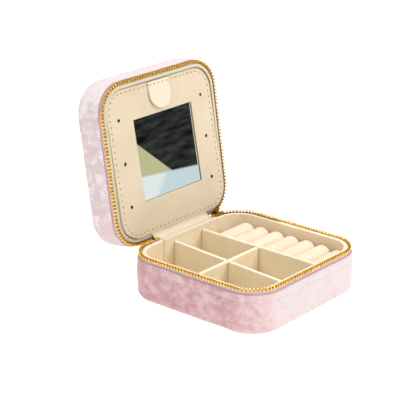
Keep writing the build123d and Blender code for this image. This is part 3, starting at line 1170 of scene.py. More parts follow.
@dataclass
class Collars:
    """The suede-lined collars that stand inside the walls, each with a rounded lip at the rim."""

    sizes: BoxSizes
    lip_out: float = 2.75  # inset of the lips' outer edges
    lip_depth: float = 2.3
    lip_radius: float = 0.42
    lip_crown: float = 0.1
    lid_lip_height: float = 3.0  # how far up the lid's collar its lip's darker suede, painted shade, reaches
    clear_inset: float = 3.86  # the lip keeps this inset where the parked slider swings by
    clear_zone: tuple[float, float] = (24.0, 38.0)
    run_end: float = 14.0  # the slider's run ends behind this place on the right side
    fade: float = 4.0
    gap_shadow_width: float = 0.34  # painted shadow: the lip's inner edge is painted dark beside the mirror panel, where the gap shades it
    side_steps: int = 24
    corner_steps: int = 16

    def lip_inset(self, station: Station, run_too: bool) -> float:
        """Finds how far out a lip reaches, where it has to give way to the slider.

        Args:
            station: a place on the outline.
            run_too: whether it also gives way along the slider's run round the corner.

        Returns:
            The inset of the lip's outer edge, in mm.
        """
        low, high = self.clear_zone
        place = station.place
        if run_too:
            near = min(place.x - low, place.y - self.run_end) / self.fade + 1
        elif place.y > self.sizes.outline.half_depth - self.sizes.corner_radius / 2:
            near = min(place.x - low, high - place.x) / self.fade + 1
        else:
            near = 0.0
        share = max(0.0, min(1.0, near))
        return self.lip_out + (self.clear_inset - self.lip_out) * share

    def section(self, lip: float, rim: float, far: float) -> Section:
        """The collar's section, up its outer face, over the lip and back down its inner face.

        Args:
            lip: inset of the lip's outer edge.
            rim: height of the lip.
            far: height of the collar's other edge.

        Returns:
            The section's points.
        """
        up = math.copysign(1.0, rim - far)
        outer, inner = self.sizes.collar_inset, self.sizes.inner_inset
        soft = self.lip_radius
        under = rim - up * self.lip_depth
        points = [(outer, far), (outer, under), (lip + 0.1, under + up * 0.2)]
        points += arc((lip + soft, rim - up * soft), soft, 180, 180 - up * 90, 4)
        points.append(((lip + inner) / 2, rim + up * self.lip_crown))
        points += arc((inner - soft, rim - up * soft), soft, up * 90, 0, 4)
        points += run((inner, rim - up * 1.0), (inner, far), 3.0)
        return [*points, (inner, far)]

    def tray(self) -> bpy.types.Object:
        """Makes the tray's collar."""
        size = self.sizes
        low, high = (v.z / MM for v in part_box("base_collar"))
        stations = size.outline.loop(self.side_steps, self.corner_steps)
        made = wrap(stations, lambda s: self.section(self.lip_inset(s, True), high, low), True, True)
        piece = piece_of("suede_tray_collar", made, WALL_SUEDE, crease=60)
        # painted light: the lip's top faces get the paler copy of the suede
        edge_with(piece, LIT_TOP_SUEDE, lambda spot, normal: spot.z > (high - self.lip_radius) * MM)
        return piece

    def lid(self) -> bpy.types.Object:
        """Makes the lid's collar, whose lip is a broad soft band."""
        size = self.sizes
        low, high = (v.z for v in size.hinge.closed_box("lid_collar"))
        stations = size.outline.loop(self.side_steps, self.corner_steps)
        made = wrap(stations, lambda s: self.section(self.lip_inset(s, False), low, high), True, True)
        # painted shade: the lip gets the darker copy of the suede, and the wall above it the plain one
        piece = piece_of("suede_lid_collar", made, SHADED_LID_LIP_SUEDE, size.hinge.opening(), crease=60)
        back = size.hinge.opening().inverted()
        wall = low + self.lid_lip_height
        edge_with(piece, WALL_SUEDE, lambda spot, normal: (back @ spot).z > wall * MM)
        # painted shadow: a thin dark band on the lip's inner edge, where the gap beside the mirror panel
        # shades it
        piece.data.materials.append(GAP_SHADOW_SUEDE.material())
        line = (size.inner_inset - self.gap_shadow_width) * MM
        for face in piece.data.polygons:
            spot = back @ face.center
            if face.material_index == 0 and size.outline.inset_of(spot) > line:
                face.material_index = 2
        return piece

    def build(self) -> None:
        """Makes both collars."""
        settle(self.tray(), "base", "suede", "base_collar")
        settle(self.lid(), "lid", "suede", "lid_collar")
        for node in ("base_board", "lid_board"):
            dress(node, BOARD)
        for node in ("floor_pad", "lid_lining"):
            dress(node, WALL_SUEDE)


@dataclass
class Zip:
    """The metal zip: two tapes, two rows of teeth and the end stops."""

    sizes: BoxSizes
    rows: RowMaker
    tape_thickness: float = 0.6
    tape_extra: float = 0.6  # the cloth reaches this much further up the teeth than the rigid tape
    tooth_pitch: float = 2.1
    tooth_length: float = 1.05
    tooth_depth: float = 1.75
    tooth_height: float = 2.15
    tooth_lift: float = 1.5
    strip_gap: float = 0.35
    tray_first: float = 2.95  # distance along the zip of the tray row's first tooth
    tray_count: int = 142
    lid_first: float = 8.2
    lid_count: int = 140
    slider_end: float = 34.6  # the lid's tape is narrower as far as this, to pass the slider
    slider_clear: float = 1.15  # how far that stretch of the lid's tape is set back

    @property
    def tape_inset(self) -> float:
        """Inset of the tape's outer face."""
        return self.sizes.cover + self.sizes.hem

    def tooth(self, name: str, down: bool) -> bpy.types.Object:
        """Makes the tooth that a row repeats: two arms over the tape and a cupped head.

        Args:
            name: the template's name.
            down: whether it hangs from the lid.

        Returns:
            The template.
        """
        half, top = self.tooth_depth / 2, self.tooth_height
        section = [
            (-0.86 * half, 0.0),
            (-half, 0.14 * top),
            (-half, 0.62 * top),
            (-0.8 * half, 0.86 * top),
            (-0.42 * half, top),
            (0.42 * half, top),
            (0.8 * half, 0.86 * top),
            (half, 0.62 * top),
            (half, 0.14 * top),
            (0.86 * half, 0.0),
        ]
        made = bmesh.new()
        reach = self.tooth_length / 2
        rings = []
        for x, share in ((-reach, 0.84), (-0.7 * reach, 1.0), (0.7 * reach, 1.0), (reach, 0.84)):
            rings.append(
                [
                    made.verts.new(Vector((x, y * share, top / 2 + (z - top / 2) * share)) * MM)
                    for y, z in section
                ]
            )
        for a, b in zip(rings, rings[1:]):
            for i in range(len(section)):
                k = (i + 1) % len(section)
                made.faces.new((a[i], b[i], b[k], a[k]))
        made.faces.new(rings[0])
        made.faces.new(rings[-1])
        turn = Matrix.Rotation(math.pi, 4, "X") if down else None
        return piece_of(name, made, BRASS, turn, crease=35)

    def tape(
        self, name: str, edges: tuple[float, float], set_back: float, place: Matrix | None
    ) -> bpy.types.Object:
        """Makes one tape.

        Args:
            name: the piece's name.
            edges: heights of its hidden and its free edge.
            set_back: how much narrower it is beside the parked slider.
            place: a matrix that puts it in place.

        Returns:
            The piece.
        """
        left, right = self.sizes.strip
        route = self.sizes.outline.route(right + self.strip_gap, left - self.strip_gap, 1.2)
        near, far = self.tape_inset, self.tape_inset + self.tape_thickness
        middle = (near + far) / 2
        hidden, edge = edges
        edge += math.copysign(self.tape_extra, edge - hidden)
        back = math.copysign(0.2, edge - hidden)

        def section(station: Station) -> Section:
            beside = 0 < station.place.x < self.slider_end and station.place.y > 0
            free = edge - math.copysign(set_back if beside else 0.0, edge - hidden)
            points = [(near, hidden), (near, free - 2 * back), (near + 0.1, free - back / 2)]
            points += [(middle, free), (far - 0.1, free - back / 2), (far, free - 2 * back)]
            return [*points, (far, hidden)]

        made = wrap(route, section, False, True)
        return piece_of(name, made, TAPE, place, crease=80)

    def build(self) -> None:
        """Makes the tapes, the teeth and the stops."""
        size = self.sizes
        opening = size.hinge.opening()
        start_x = size.strip[1] + self.strip_gap
        low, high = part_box("base_zip_tape")
        tray_tape = self.tape("zip_tape_tray", (low.z / MM, high.z / MM), 0.0, None)
        settle(tray_tape, "base", "zip_tape", "base_zip_tape")
        low, high = size.hinge.closed_box("lid_zip_tape")
        lid_tape = self.tape("zip_tape_lid", (high.z, low.z), self.slider_clear, opening)
        settle(lid_tape, "lid", "zip_tape", "lid_zip_tape")

        middle = self.tape_inset + self.tape_thickness / 2
        plan = Outline(
            size.outline.half_width - middle,
            size.outline.half_depth - middle,
            size.corner_radius - middle,
        )
        route = plan.route(start_x, size.strip[0] - self.strip_gap, 0.6)
        foot = size.tray_rim + self.tooth_lift
        head = size.lid_rim - self.tooth_lift
        up, down = self.tooth("tooth_up", False), self.tooth("tooth_down", True)
        tray_last = self.tray_first + (self.tray_count - 1) * self.tooth_pitch
        lid_last = self.lid_first + (self.lid_count - 1) * self.tooth_pitch
        tray_row = self.rows.make(
            "zip_teeth_tray",
            up,
            [s.at(0, foot) for s in route],
            (self.tray_first, tray_last),
            self.tray_count,
            BRASS,
        )
        settle(tray_row, "base", "zip_metal", "base_zip_teeth")
        lid_row = self.rows.make(
            "zip_teeth_lid",
            down,
            [s.at(0, head) for s in route],
            (self.lid_first, lid_last),
            self.lid_count,
            BRASS,
            place=opening,
        )
        settle(lid_row, "lid", "zip_metal", "lid_zip_teeth")
        for template in (up, down):
            bpy.data.objects.remove(template)
        for node, body in (("base_zip_stops", "base"), ("lid_zip_stop", "lid")):
            stop = copied(node, node.replace("base_", "tray_"), BRASS)
            soften(stop, 0.22, 2)
            settle(stop, body, "zip_metal", node)


@dataclass
class Runner:
    """The zip's slider and its puller."""

    edge: float = 0.2

    def build(self) -> None:
        """Makes both, with rounded edges."""
        for node, name in (("zip_slider", "slider_body"), ("zip_puller", "slider_puller")):
            # the slider and its puller get the darker brass, which is painted shade
            piece = copied(node, name, SHADED_SLIDER_BRASS)
            soften(piece, self.edge, 3)
            settle(piece, node.removeprefix("zip_"), "zip_metal", node)


@dataclass
class Dividers:
    """The board dividers of the tray, wrapped in suede."""

    edge: float = 0.75

    def build(self) -> None:
        """Makes the three dividers, with the cloth rounded over their edges."""
        for node in ("ring_divider", "long_divider", "cross_divider"):
            piece = copied(node, f"suede_{node}", WALL_SUEDE)
            # painted light: the upward faces get the paler copy of the suede
            edge_with(piece, LIT_TOP_SUEDE, lambda spot, normal: normal.z > 0.9)
            soften(piece, self.edge, 4)
            settle(piece, "base", "suede", node)


@dataclass
class RingRolls:
    """The padded rolls that hold rings between them: foam bars covered in soft suede."""

    sizes: BoxSizes
    slack: float = 0.25  # the foam is this much smaller than its cover, all round
    voxel: float = 1.1
    frames: int = 20
    pressure: float = 4.0
    most: float = 0.5  # the cover swells by no more than this
    end_radius: float = 3.2
    count: int = 7

    def blank(self, low: Vector, high: Vector) -> bmesh.types.BMesh:
        """The foam bar before it is covered.

        Args:
            low: lowest corner of the roll's space, in mm.
            high: highest corner.

        Returns:
            A bar with a half-round crown and a rounded free end.
        """
        made = bmesh.new()
        slack = self.slack
        crown = (high.y - low.y) / 2 - slack
        middle = (high.y + low.y) / 2
        start, end = low.x + slack, high.x - slack
        stretch = [start + (end - self.end_radius - start) * i / 16 for i in range(17)]
        stretch += [end - self.end_radius * (1 - math.sin(math.radians(a))) for a in (20, 40, 60, 80)]
        rings = []
        for x in stretch:
            past = max(0.0, x - (end - self.end_radius)) / self.end_radius
            shrink = self.end_radius * (1 - math.sqrt(max(0.0, 1 - past * past)))
            reach, top = crown - 0.55 * shrink, high.z - slack - shrink
            section = [(-reach, low.z + slack)]
            section += [(-reach, low.z + (top - reach - low.z) * k / 5) for k in range(1, 5)]
            section += arc((0.0, top - reach), reach, 180, 0, 12)
            section += [(reach, low.z + (top - reach - low.z) * k / 5) for k in range(4, 0, -1)]
            section += [(reach, low.z + slack)]
            rings.append([made.verts.new(Vector((x, middle + y, z)) * MM) for y, z in section])
        for a, b in zip(rings, rings[1:]):
            for i in range(len(a)):
                k = (i + 1) % len(a)
                made.faces.new((a[i], b[i], b[k], a[k]))
        made.faces.new(rings[0])
        made.faces.new(rings[-1])
        bmesh.ops.recalc_face_normals(made, faces=made.faces)
        return made

    def cover(self, bar: bpy.types.Object) -> None:
        """Swells the cover over the foam with a cloth simulation, and keeps its result."""
        scene = bpy.context.scene
        bpy.context.view_layer.objects.active = bar
        bar.data.remesh_voxel_size = self.voxel * MM
        bpy.ops.object.select_all(action="DESELECT")
        bar.select_set(True)
        bpy.ops.object.voxel_remesh()
        before = [v.co.copy() for v in bar.data.vertices]
        cloth = bar.modifiers.new("cover", "CLOTH")
        cloth.settings.quality = 6
        cloth.settings.mass = 0.15
        cloth.settings.use_pressure = True
        cloth.settings.uniform_pressure_force = self.pressure
        cloth.settings.tension_stiffness = 25
        cloth.settings.effector_weights.gravity = 0.0
        for step in range(1, self.frames + 1):
            scene.frame_set(step)
        ready = bar.evaluated_get(bpy.context.evaluated_depsgraph_get())
        after = [v.co.copy() for v in ready.data.vertices]
        bar.modifiers.remove(cloth)
        scene.frame_set(1)
        for vertex, old, new in zip(bar.data.vertices, before, after):
            move = new - old
            if move.length > self.most * MM:
                move = move.normalized() * self.most * MM
            vertex.co = old + move

    def build(self) -> None:
        """Makes one covered roll, and the others from it."""
        low, high = (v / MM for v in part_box("ring_roll_3"))
        first = piece_of("roll_pattern", self.blank(low, high), ROLL_SUEDE, crease=180)
        self.cover(first)
        for number in range(1, self.count + 1):
            node = f"ring_roll_{number}"
            own = (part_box(node)[0].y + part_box(node)[1].y) / 2 - (low.y + high.y) / 2 * MM
            middle_y = (low.y + high.y) / 2 * MM
            made = bmesh.new()
            made.from_mesh(first.data)
            tall = 1 + 0.012 * noise.noise((number * 3.7, 0.5, 0.0))
            tilt = math.radians(1.2) * noise.noise((number * 5.3, 2.5, 0.0))
            for vertex in made.verts:
                rise = vertex.co.z - low.z * MM
                vertex.co.z = low.z * MM + rise * tall
                vertex.co.y = middle_y + (vertex.co.y - middle_y) + rise * math.tan(tilt) + own
                vertex.co = self.sizes.outline.pull_in(vertex.co, self.sizes.inner_inset + 0.05)
            crumple(made, 7.0, 0.1, number * 2.0)
            piece = piece_of(f"suede_ring_roll_{number}", made, ROLL_SUEDE, crease=180)
            refine(piece, 1)
            settle(piece, "base", "roll_suede", node)
        bpy.data.objects.remove(first)


class Cloth(Enum):
    """The two cloths that cross the hinge: name, finish, slot and the CAD nodes they stand for."""

    LINING = ("suede_hinge_lining", HINGE_SUEDE, "hinge_cloth", ("base_inner_cloth", "lid_inner_cloth"))
    STRIP = ("velvet_hinge_strip", VELVET, "velvet", ("hinge_strip",))


@dataclass
class HingeCloths:
    """The velvet strip outside the hinge and the suede lining inside it."""

    sizes: BoxSizes
    columns: int = 32
    lining_thickness: float = 0.5
    strip_thickness: float = 0.7
    ends_past: float = 0.4  # the cloths reach this far past the rigid strip's ends

    def smooth_line(self, points: Sequence[Vector], step: float) -> list[Vector]:
        """Rounds a line's corners with a spline.

        Args:
            points: the line's points, in metres.
            step: about how far apart the new points are, in mm.

        Returns:
            The points of the rounded line.
        """
        curve = bpy.data.curves.new("line", "CURVE")
        curve.dimensions = "3D"
        spline = curve.splines.new("NURBS")
        spline.points.add(len(points) - 1)
        for knot, point in zip(spline.points, points):
            knot.co = (*point, 1.0)
        spline.order_u = 3
        spline.use_endpoint_u = True
        length = sum((b - a).length for a, b in zip(points, points[1:]))
        spline.resolution_u = max(2, round(length / MM / step / len(points)))
        holder = bpy.data.objects.new("line", curve)
        mesh = bpy.data.meshes.new_from_object(holder)
        made = [v.co.copy() for v in mesh.vertices]
        bpy.data.objects.remove(holder)
        bpy.data.meshes.remove(mesh)
        return made

    def lay(
        self, cloth: Cloth, line: Sequence[Vector], thickness: float, bend: tuple[Vector, Vector]
    ) -> None:
        """Makes one cloth as wide as the strip, along a line across the hinge.

        Args:
            cloth: which cloth it is.
            line: its points in the plane across the hinge, from the tray to the lid.
            thickness: the cloth's thickness, in mm.
            bend: where the cloth stops following the tray and starts following the lid; not used.
        """
        name, finish, slot, nodes = cloth.value
        left, right = (x * MM for x in self.sizes.strip)
        left -= self.ends_past * MM
        right += self.ends_past * MM
        made = bmesh.new()
        rows = []
        for point in line:
            row = []
            for i in range(self.columns + 1):
                x = left + (right - left) * i / self.columns
                ripple = noise.noise((x / 0.009, point.y / 0.004, point.z / 0.004)) * 0.06 * MM
                row.append(made.verts.new((x, point.y + ripple, point.z + ripple)))
            rows.append(row)
        for a, b in zip(rows, rows[1:]):
            for i in range(self.columns):
                made.faces.new((a[i], b[i], b[i + 1], a[i + 1]))
        piece = piece_of(name, made, finish, crease=180)
        if cloth is Cloth.LINING:
            wall_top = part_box("base_collar")[1].z - 2 * MM
            edge_with(piece, WALL_SUEDE, lambda spot, normal: spot.z < wall_top)
        solid = piece.modifiers.new("cloth_thickness", "SOLIDIFY")
        solid.thickness = thickness * MM
        solid.offset = 0.0
        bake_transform(piece)
        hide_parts(*nodes)

    def build(self) -> None:
        """Makes both cloths."""
        size = self.sizes
        opening = size.hinge.opening()
        depth = size.outline.half_depth
        collar, inner = depth - size.collar_inset, depth - size.inner_inset

        def on_tray(y: float, z: float) -> Vector:
            return Vector((0, y, z)) * MM

        def on_lid(y: float, z: float) -> Vector:
            return opening @ (Vector((0, y, z)) * MM)

        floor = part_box("floor_pad")[1].z / MM
        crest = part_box("base_collar")[1].z / MM
        lid_crest = size.hinge.closed_box("lid_collar")[0].z
        half = self.lining_thickness / 2
        hinge_y, hinge_z = size.hinge.place.y / MM, size.hinge.place.z / MM
        lining = [
            on_tray(inner - half, floor + 0.1),
            on_tray(inner - half, 12.0),
            on_tray(inner - half, 20.0),
            on_tray(inner - half, crest - 0.6),
            on_tray(inner - half, crest + 0.35),
            on_tray(collar - 0.2, crest + 0.4),
            on_tray(hinge_y - 1.2, hinge_z + 1.15),
            on_tray(hinge_y + 0.15, hinge_z + 0.75),
            on_lid(hinge_y - 1.2, hinge_z + 1.35),
            on_lid(collar - 0.2, lid_crest - 0.4),
            on_lid(inner - half, lid_crest - 0.35),
            on_lid(inner - half, lid_crest + 0.6),
            on_lid(inner - half, lid_crest + 1.6),
        ]
        self.lay(
            Cloth.LINING,
            self.smooth_line(lining, 0.5),
            self.lining_thickness,
            (on_tray(hinge_y - 1.1, hinge_z), on_tray(hinge_y + 1.1, hinge_z)),
        )
        tucked = depth - size.cover - size.hem - 0.45
        strip = [
            on_tray(tucked, size.tray_rim - 3.6),
            on_tray(tucked, size.tray_rim - 1.6),
            on_tray(tucked + 0.1, size.tray_rim + 0.1),
            on_tray(hinge_y, hinge_z - 0.05),
            on_lid(hinge_y, hinge_z + 0.6),
            on_lid(hinge_y + 0.05, hinge_z + 2.4),
            on_lid(hinge_y + 0.05, size.lid_rim - 1.4),
            on_lid(hinge_y - 0.3, size.lid_rim - 0.1),
            on_lid(tucked, size.lid_rim + 1.6),
            on_lid(tucked, size.lid_rim + 3.6),
        ]
        self.lay(
            Cloth.STRIP,
            self.smooth_line(strip, 0.5),
            self.strip_thickness,
            (on_tray(hinge_y - 0.45, hinge_z - 0.45), on_tray(hinge_y + 0.45, hinge_z + 0.45)),
        )


@dataclass
class MirrorPanel:
    """The leather-covered panel in the lid, with its mirror, earring holes, stitching and tab."""

    sizes: BoxSizes
    rows: RowMaker
    stitch_inset: float = 2.1  # from the panel's edge
    stitch_sink: float = 0.32  # how deep a stitch's ends go into the leather
    stitch_girths: tuple[tuple[float, float], ...] = (
        (-1.0, 0.35),
        (-0.8, 0.8),
        (-0.35, 1.0),
        (0.35, 1.0),
        (0.8, 0.8),
        (1.0, 0.35),
    )  # a stitch's places along its length and its thickness there
    cut_side_margin: float = 3.0  # raw edges are looked for this far inside the panel's sides
    cut_end_margin: float = 1.0  # and this far inside its two ends
    edge_start: float = 0.2  # how far behind the face the turned edge starts
    tab_dish: float = 0.22  # how far the loose end's sides lift off the panel
    tab_gap: float = 0.12
    fold_reach: float = 0.6  # a distance to both sides of the tab's fold
    stitch_pitch: float = 3.55
    stitch_length: float = 1.5
    stitch_radius: float = 0.33
    stitch_corner: float = -0.8  # the seam's corners are this much rounder than the panel's
    edge_lap: float = 0.14  # thickness of the leather round the panel's edge
    tab_width: float = 17.5
    tab_length: float = 16.5
    tab_root: float = 3.0
    tab_thickness: float = 0.8
    tab_curl: float = 1.5  # the free end stands this far off the panel

    def __post_init__(self) -> None:
        """Takes the panel's face and edge from the frame."""
        self.seat = self.sizes.panel_seat()
        low, high = self.sizes.hinge.closed_box("panel_face", self.seat)
        self.face = low.z
        self.front = low.y
        inset = self.sizes.outline.half_width - high.x
        self.plan = Outline(high.x, high.y, self.sizes.corner_radius - inset)

    def stitch(self) -> bpy.types.Object:
        """Makes the stitch that the rows repeat, pulled down into the leather at both ends."""
        made = bmesh.new()
        rings = []
        half, sides = self.stitch_length / 2, 8
        for share, girth in self.stitch_girths:
            sink = self.stitch_sink * share**4
            rings.append(
                [
                    made.verts.new(
                        Vector(
                            (
                                share * half,
                                girth * self.stitch_radius * math.cos(math.tau * k / sides),
                                girth * self.stitch_radius * math.sin(math.tau * k / sides) + sink,
                            )
                        )
                        * MM
                    )
                    for k in range(sides)
                ]
            )
        for a, b in zip(rings, rings[1:]):
            for i in range(sides):
                k = (i + 1) % sides
                made.faces.new((a[i], b[i], b[k], a[k]))
        made.faces.new(rings[0])
        made.faces.new(rings[-1])
        return piece_of("stitch", made, THREAD, crease=180)

    def seams(self) -> None:
        """Makes the seam round the panel and the one across the tab's root."""
        stitch = self.stitch()
        inset = self.stitch_inset
        plan = Outline(
            self.plan.half_width - inset,
            self.plan.half_depth - inset,
            self.plan.radius - inset + self.stitch_corner,
        )
        loop = plan.route(0.0, 0.0, 0.6)
        path = [s.at(0, self.face - 0.02) for s in loop]
        length = sum((b - a).length for a, b in zip(path, path[1:])) / MM
        count = round(length / self.stitch_pitch)
        last = length * (count - 1) / count
        seam = self.rows.make(
            "panel_seam_stitches", stitch, path, (0.0, last), count, THREAD, uneven=0.12, place=self.seat
        )
        settle(seam, "panel", "panel_leather")
        reach = self.tab_width / 2 - 1.6
        height = self.face - 0.25 - self.tab_thickness
        y = self.front + self.stitch_inset
        line = [Vector((-reach, y, height)) * MM, Vector((reach, y, height)) * MM]
        across = self.rows.make(
            "tab_seam_stitches", stitch, line, (0.0, 2 * reach), 5, THREAD, uneven=0.08, place=self.seat
        )
        settle(across, "panel", "tab_leather")
        bpy.data.objects.remove(stitch)

    def blacken_cuts(self, face: bpy.types.Object) -> None:
        """Paints the leather's raw edge dark in the mirror's opening and in the earring holes; the dark
        is partly the raw edge's own colour and partly painted shade inside the holes and the opening.
        """
        back = self.seat.inverted()
        straight = back.to_3x3()
        rim = self.plan.half_width - self.plan.radius
        width = self.plan.half_width - self.cut_side_margin
        depth = self.plan.half_depth - self.cut_end_margin

        def is_cut(spot: Vector, normal: Vector) -> bool:
            place = (back @ spot) / MM
            inside = abs(place.x) < width and abs(place.y) < depth
            return inside and abs(place.y) + abs(place.x) < 2 * rim and abs((straight @ normal).z) < 0.5

        edge_with(face, CUT_EDGE_AND_HOLE_SHADE_LEATHER, is_cut)

    def edge(self) -> None:
        """Makes the leather's turn round the panel's edge."""
        low = self.face + self.edge_start
        high = self.sizes.hinge.closed_box("panel_back", self.seat)[1].z
        lap = self.edge_lap
        section = [(0.0, low), (-lap, low + lap), (-lap, high), (0.0, high)]
        made = wrap(self.plan.loop(20, 12), lambda station: section, True, True)
        piece = piece_of("leather_panel_edge", made, PANEL_LEATHER, self.seat)
        settle(piece, "panel", "panel_leather")

    def tab(self) -> None:
        """Makes the leather tab, sewn down at its root and curling off the panel at its round end."""
        half = self.tab_width / 2
        top = self.front + 0.3
        end = top + self.tab_length
        columns, rows = 16, 22
        made = bmesh.new()
        grid = []
        for j in range(rows + 1):
            y = top + (end - top) * j / rows
            past = max(0.0, y - (end - half))
            reach = math.sqrt(max(half * half - past * past, 0.02)) - 0.12
            away = max(0.0, (y - top - self.tab_root) / (self.tab_length - self.tab_root))
            row = []
            for i in range(columns + 1):
                across = 2 * i / columns - 1
                lift = self.tab_curl * away**1.6 + self.tab_dish * away * across * across
                height = self.face - self.tab_gap - self.tab_thickness / 2 - lift
                row.append(made.verts.new(Vector((reach * across, y, height)) * MM))
            grid.append(row)
        for a, b in zip(grid, grid[1:]):
            for i in range(columns):
                made.faces.new((a[i], b[i], b[i + 1], a[i + 1]))
        piece = piece_of("leather_pull_tab", made, TAB_LEATHER, self.seat, crease=180)
        solid = piece.modifiers.new("leather_thickness", "SOLIDIFY")
        solid.thickness = self.tab_thickness * MM
        solid.offset = 0.0
        soften(piece, 0.2, 2, angle=60)
        reach = self.fold_reach
        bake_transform(piece)
        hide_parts("tab_root", "pull_tab")
        LOG.info("leather_pull_tab bends between panel and tab")

    def build(self) -> None:
        """Makes the panel's pieces."""
        face = copied("panel_face", "leather_panel_face", PANEL_LEATHER)
        self.blacken_cuts(face)
        soften(face, 0.28, 3)
        settle(face, "panel", "panel_leather", "panel_face")
        self.edge()
        glass = copied("mirror", "mirror_glass", GLASS)
        soften(glass, 0.25, 1)
        settle(glass, "panel", "mirror", "mirror")
        dress("panel_board", DARK_BOARD)
        dress("panel_back", WALL_SUEDE)
        self.seams()
        self.tab()


# ---- studio ----


@dataclass
class Studio:
    """Pale floor, soft light, the camera and the card that the mirror shows."""

    sizes: BoxSizes
    target: tuple[float, float, float] = (-6.1, 22.99, 46.89)
    azimuth: float = -49.69
    elevation: float = 20.42
    distance: float = 841.1
    lens: float = 126.6
    card_distance: float = 190.0
    card_margin: float = 0.15

    def back(self) -> Vector:
        """Direction from the box to the camera."""
        a, e = math.radians(self.azimuth), math.radians(self.elevation)
        return Vector((math.sin(a) * math.cos(e), -math.cos(a) * math.cos(e), math.sin(e)))

    def camera(self) -> Vector:
        """Makes the camera, and returns where it stands."""
        data = bpy.data.cameras.new("camera")
        data.lens = self.lens
        data.sensor_width = 36.0
        data.clip_start = 0.05
        data.clip_end = 50.0
        eye = bpy.data.objects.new("camera", data)
        eye.location = (Vector(self.target) + self.back() * self.distance) * MM
        eye.rotation_mode = "QUATERNION"
        eye.rotation_quaternion = (-self.back()).to_track_quat("-Z", "Y")
        bpy.context.scene.collection.objects.link(eye)
        bpy.context.scene.camera = eye
        return eye.location.copy()

    def lamp(
        self, name: str, place: tuple[float, float, float], size: float, power: float, colour: str
    ) -> None:
        """Makes a square softbox that points at the box.

        Args:
            name: its name.
            place: where it stands, in metres.
            size: its side, in metres.
            power: its power, in watts.
            colour: its colour.
        """
        data = bpy.data.lights.new(name, "AREA")
        data.size = size
        data.energy = power
        data.color = linear(colour)[:3]
        lamp = bpy.data.objects.new(name, data)
        lamp.location = place
        lamp.rotation_mode = "QUATERNION"
        lamp.rotation_quaternion = (Vector((0, 0.02, 0.04)) - Vector(place)).to_track_quat("-Z", "Y")
        bpy.context.scene.collection.objects.link(lamp)

    def floor(self) -> None:
        """Makes the seamless pale floor, which glows a little so that it stays white."""
        made = bmesh.new()
        bmesh.ops.create_grid(made, x_segments=8, y_segments=8, size=6.0)
        material = bpy.data.materials.new("studio_floor_white")
        material.use_nodes = True
        shader = material.node_tree.nodes["Principled BSDF"]
        shader.inputs["Base Color"].default_value = linear("#fbfbfb")
        shader.inputs["Roughness"].default_value = 0.9
        shader.inputs["Specular IOR Level"].default_value = 0.0
        shader.inputs["Emission Color"].default_value = (1, 1, 1, 1)
        shader.inputs["Emission Strength"].default_value = 0.62
        mesh = bpy.data.meshes.new("studio_floor")
        made.to_mesh(mesh)
        made.free()
        mesh.materials.append(material)
        floor = bpy.data.objects.new("studio_floor", mesh)
        bpy.context.scene.collection.objects.link(floor)

    def card_material(self) -> bpy.types.Material:
        """Makes the card's picture: a dark room over an olive curtain and a pale table.

        Its right edge paints, as a pale strip and a dark strip, the light and shade that the glass's
        ground edge shows, so the mirror shows them as a painted reflection.

        Returns:
            The material.
        """
        material = bpy.data.materials.new("studio_card")
        material.use_nodes = True
        tree = material.node_tree
        tree.nodes.clear()
        place = add(tree, "ShaderNodeUVMap", uv_map="Picture").outputs[0]

        def side_of(across: float, down: float, offset: float, blur: float) -> bpy.types.NodeSocket:
            """Share of the picture beyond a slanting line."""
            dot = add(
                tree,
                "ShaderNodeVectorMath",
                {0: place, 1: (across, down, 0.0)},
                operation="DOT_PRODUCT",
            )
            return add(
                tree, "ShaderNodeMapRange", {0: dot.outputs["Value"], 1: offset - blur, 2: offset + blur}
            ).outputs[0]

        stretched = add(
            tree,
            "ShaderNodeMapping",
            {"Vector": place, "Rotation": (0.0, 0.0, -0.5), "Scale": (0.7, 3.0, 1.0)},
        )
        leaves = add(
            tree,
            "ShaderNodeTexNoise",
            {"Vector": stretched.outputs[0], "Scale": 5.0, "Detail": 6.0, "Roughness": 0.6},
        )
        dark = add(
            tree,
            "ShaderNodeValToRGB",
            {0: leaves.outputs[0]},
            stops=((0.35, "#101110"), (0.75, "#4a4b48")),
        )
        curtain = add(
            tree,
            "ShaderNodeMix",
            {0: side_of(-0.881, 1.0, 0.27, 0.008), 6: dark.outputs[0], 7: linear("#cfc79c")},
            data_type="RGBA",
        )
        table = add(
            tree,
            "ShaderNodeMix",
            {0: side_of(1.0, 0.783, 1.007, 0.05), 6: linear("#f4f7f5"), 7: linear("#d6e4ea")},
            data_type="RGBA",
        )
        picture = add(
            tree,
            "ShaderNodeMix",
            {0: side_of(-0.1, 1.0, 0.685, 0.012), 6: curtain.outputs[2], 7: table.outputs[2]},
            data_type="RGBA",
        )
        # painted reflection: the two strips at the right edge stand in for the glass's ground edge
        outer = add(
            tree,
            "ShaderNodeMix",
            {0: side_of(1.0, 0.0, 0.978, 0.003), 6: linear("#d5dadd"), 7: linear("#6d5a55")},
            data_type="RGBA",
        )
        rimmed = add(
            tree,
            "ShaderNodeMix",
            {0: side_of(1.0, 0.0, 0.945, 0.004), 6: picture.outputs[2], 7: outer.outputs[2]},
            data_type="RGBA",
        )
        glow = add(tree, "ShaderNodeEmission", {"Color": rimmed.outputs[2], "Strength": 1.0})
        add(tree, "ShaderNodeOutputMaterial", {"Surface": glow.outputs[0]})
        return material

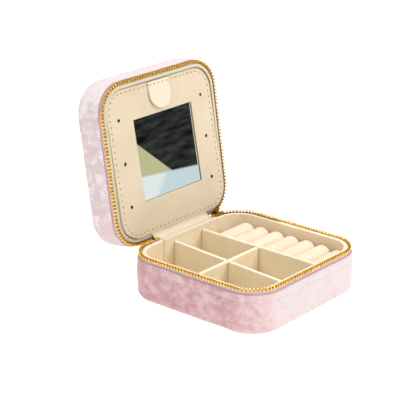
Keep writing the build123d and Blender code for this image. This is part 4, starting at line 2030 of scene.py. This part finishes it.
    def card(self, eye: Vector) -> None:
        """Hangs the card where the mirror sends the camera's look.

        Args:
            eye: where the camera stands.
        """
        seat = self.sizes.panel_seat()
        low, high = self.sizes.hinge.closed_box("mirror", seat)
        normal = (seat.to_3x3() @ Vector((0, 0, -1))).normalized()
        made = bmesh.new()
        picture = made.loops.layers.uv.new("Picture")
        margin = self.card_margin
        corners = []
        far = 1 + margin
        for u, v in ((-margin, -margin), (far, -margin), (far, far), (-margin, far)):
            x = low.x + (high.x - low.x) * u
            y = low.y + (high.y - low.y) * v
            spot = seat @ (Vector((x, y, low.z)) * MM)
            look = (spot - eye).normalized()
            bounce = look - 2 * look.dot(normal) * normal
            corners.append((spot + bounce * self.card_distance * MM, (u, v)))
        face = made.faces.new([made.verts.new(place) for place, _ in corners])
        for loop, (_, uv) in zip(face.loops, corners):
            loop[picture].uv = uv
        mesh = bpy.data.meshes.new("studio_card")
        made.to_mesh(mesh)
        made.free()
        mesh.materials.append(self.card_material())
        card = bpy.data.objects.new("studio_card", mesh)
        for rays in ("camera", "diffuse", "transmission", "volume_scatter", "shadow"):
            setattr(card, f"visible_{rays}", False)
        bpy.context.scene.collection.objects.link(card)

    def build(self) -> None:
        """Sets up the studio."""
        scene = bpy.context.scene
        scene.view_settings.view_transform = "Standard"
        world = bpy.data.worlds.new("studio_air")
        world.use_nodes = True
        air = world.node_tree.nodes["Background"]
        air.inputs["Color"].default_value = (1, 1, 1, 1)
        air.inputs["Strength"].default_value = 0.6
        scene.world = world
        self.floor()
        self.lamp("key_softbox", (0.55, -1.15, 0.95), 0.9, 11.0, "#fffdf9")
        self.lamp("fill_softbox", (-1.2, -0.5, 0.8), 1.0, 4.5, "#fbfcff")
        self.lamp("top_softbox", (0.1, 0.3, 1.5), 1.0, 9.0, "#ffffff")
        self.card(self.camera())


def main() -> None:
    logging.basicConfig(level=logging.INFO, format="%(name)s: %(message)s")
    sizes = BoxSizes()
    rows = RowMaker()
    Studio(sizes).build()
    VelvetCovers(sizes).build()
    Collars(sizes).build()
    Zip(sizes, rows).build()
    Runner().build()
    Dividers().build()
    RingRolls(sizes).build()
    HingeCloths(sizes).build()
    MirrorPanel(sizes, rows).build()


if __name__ == "__main__":
    main()
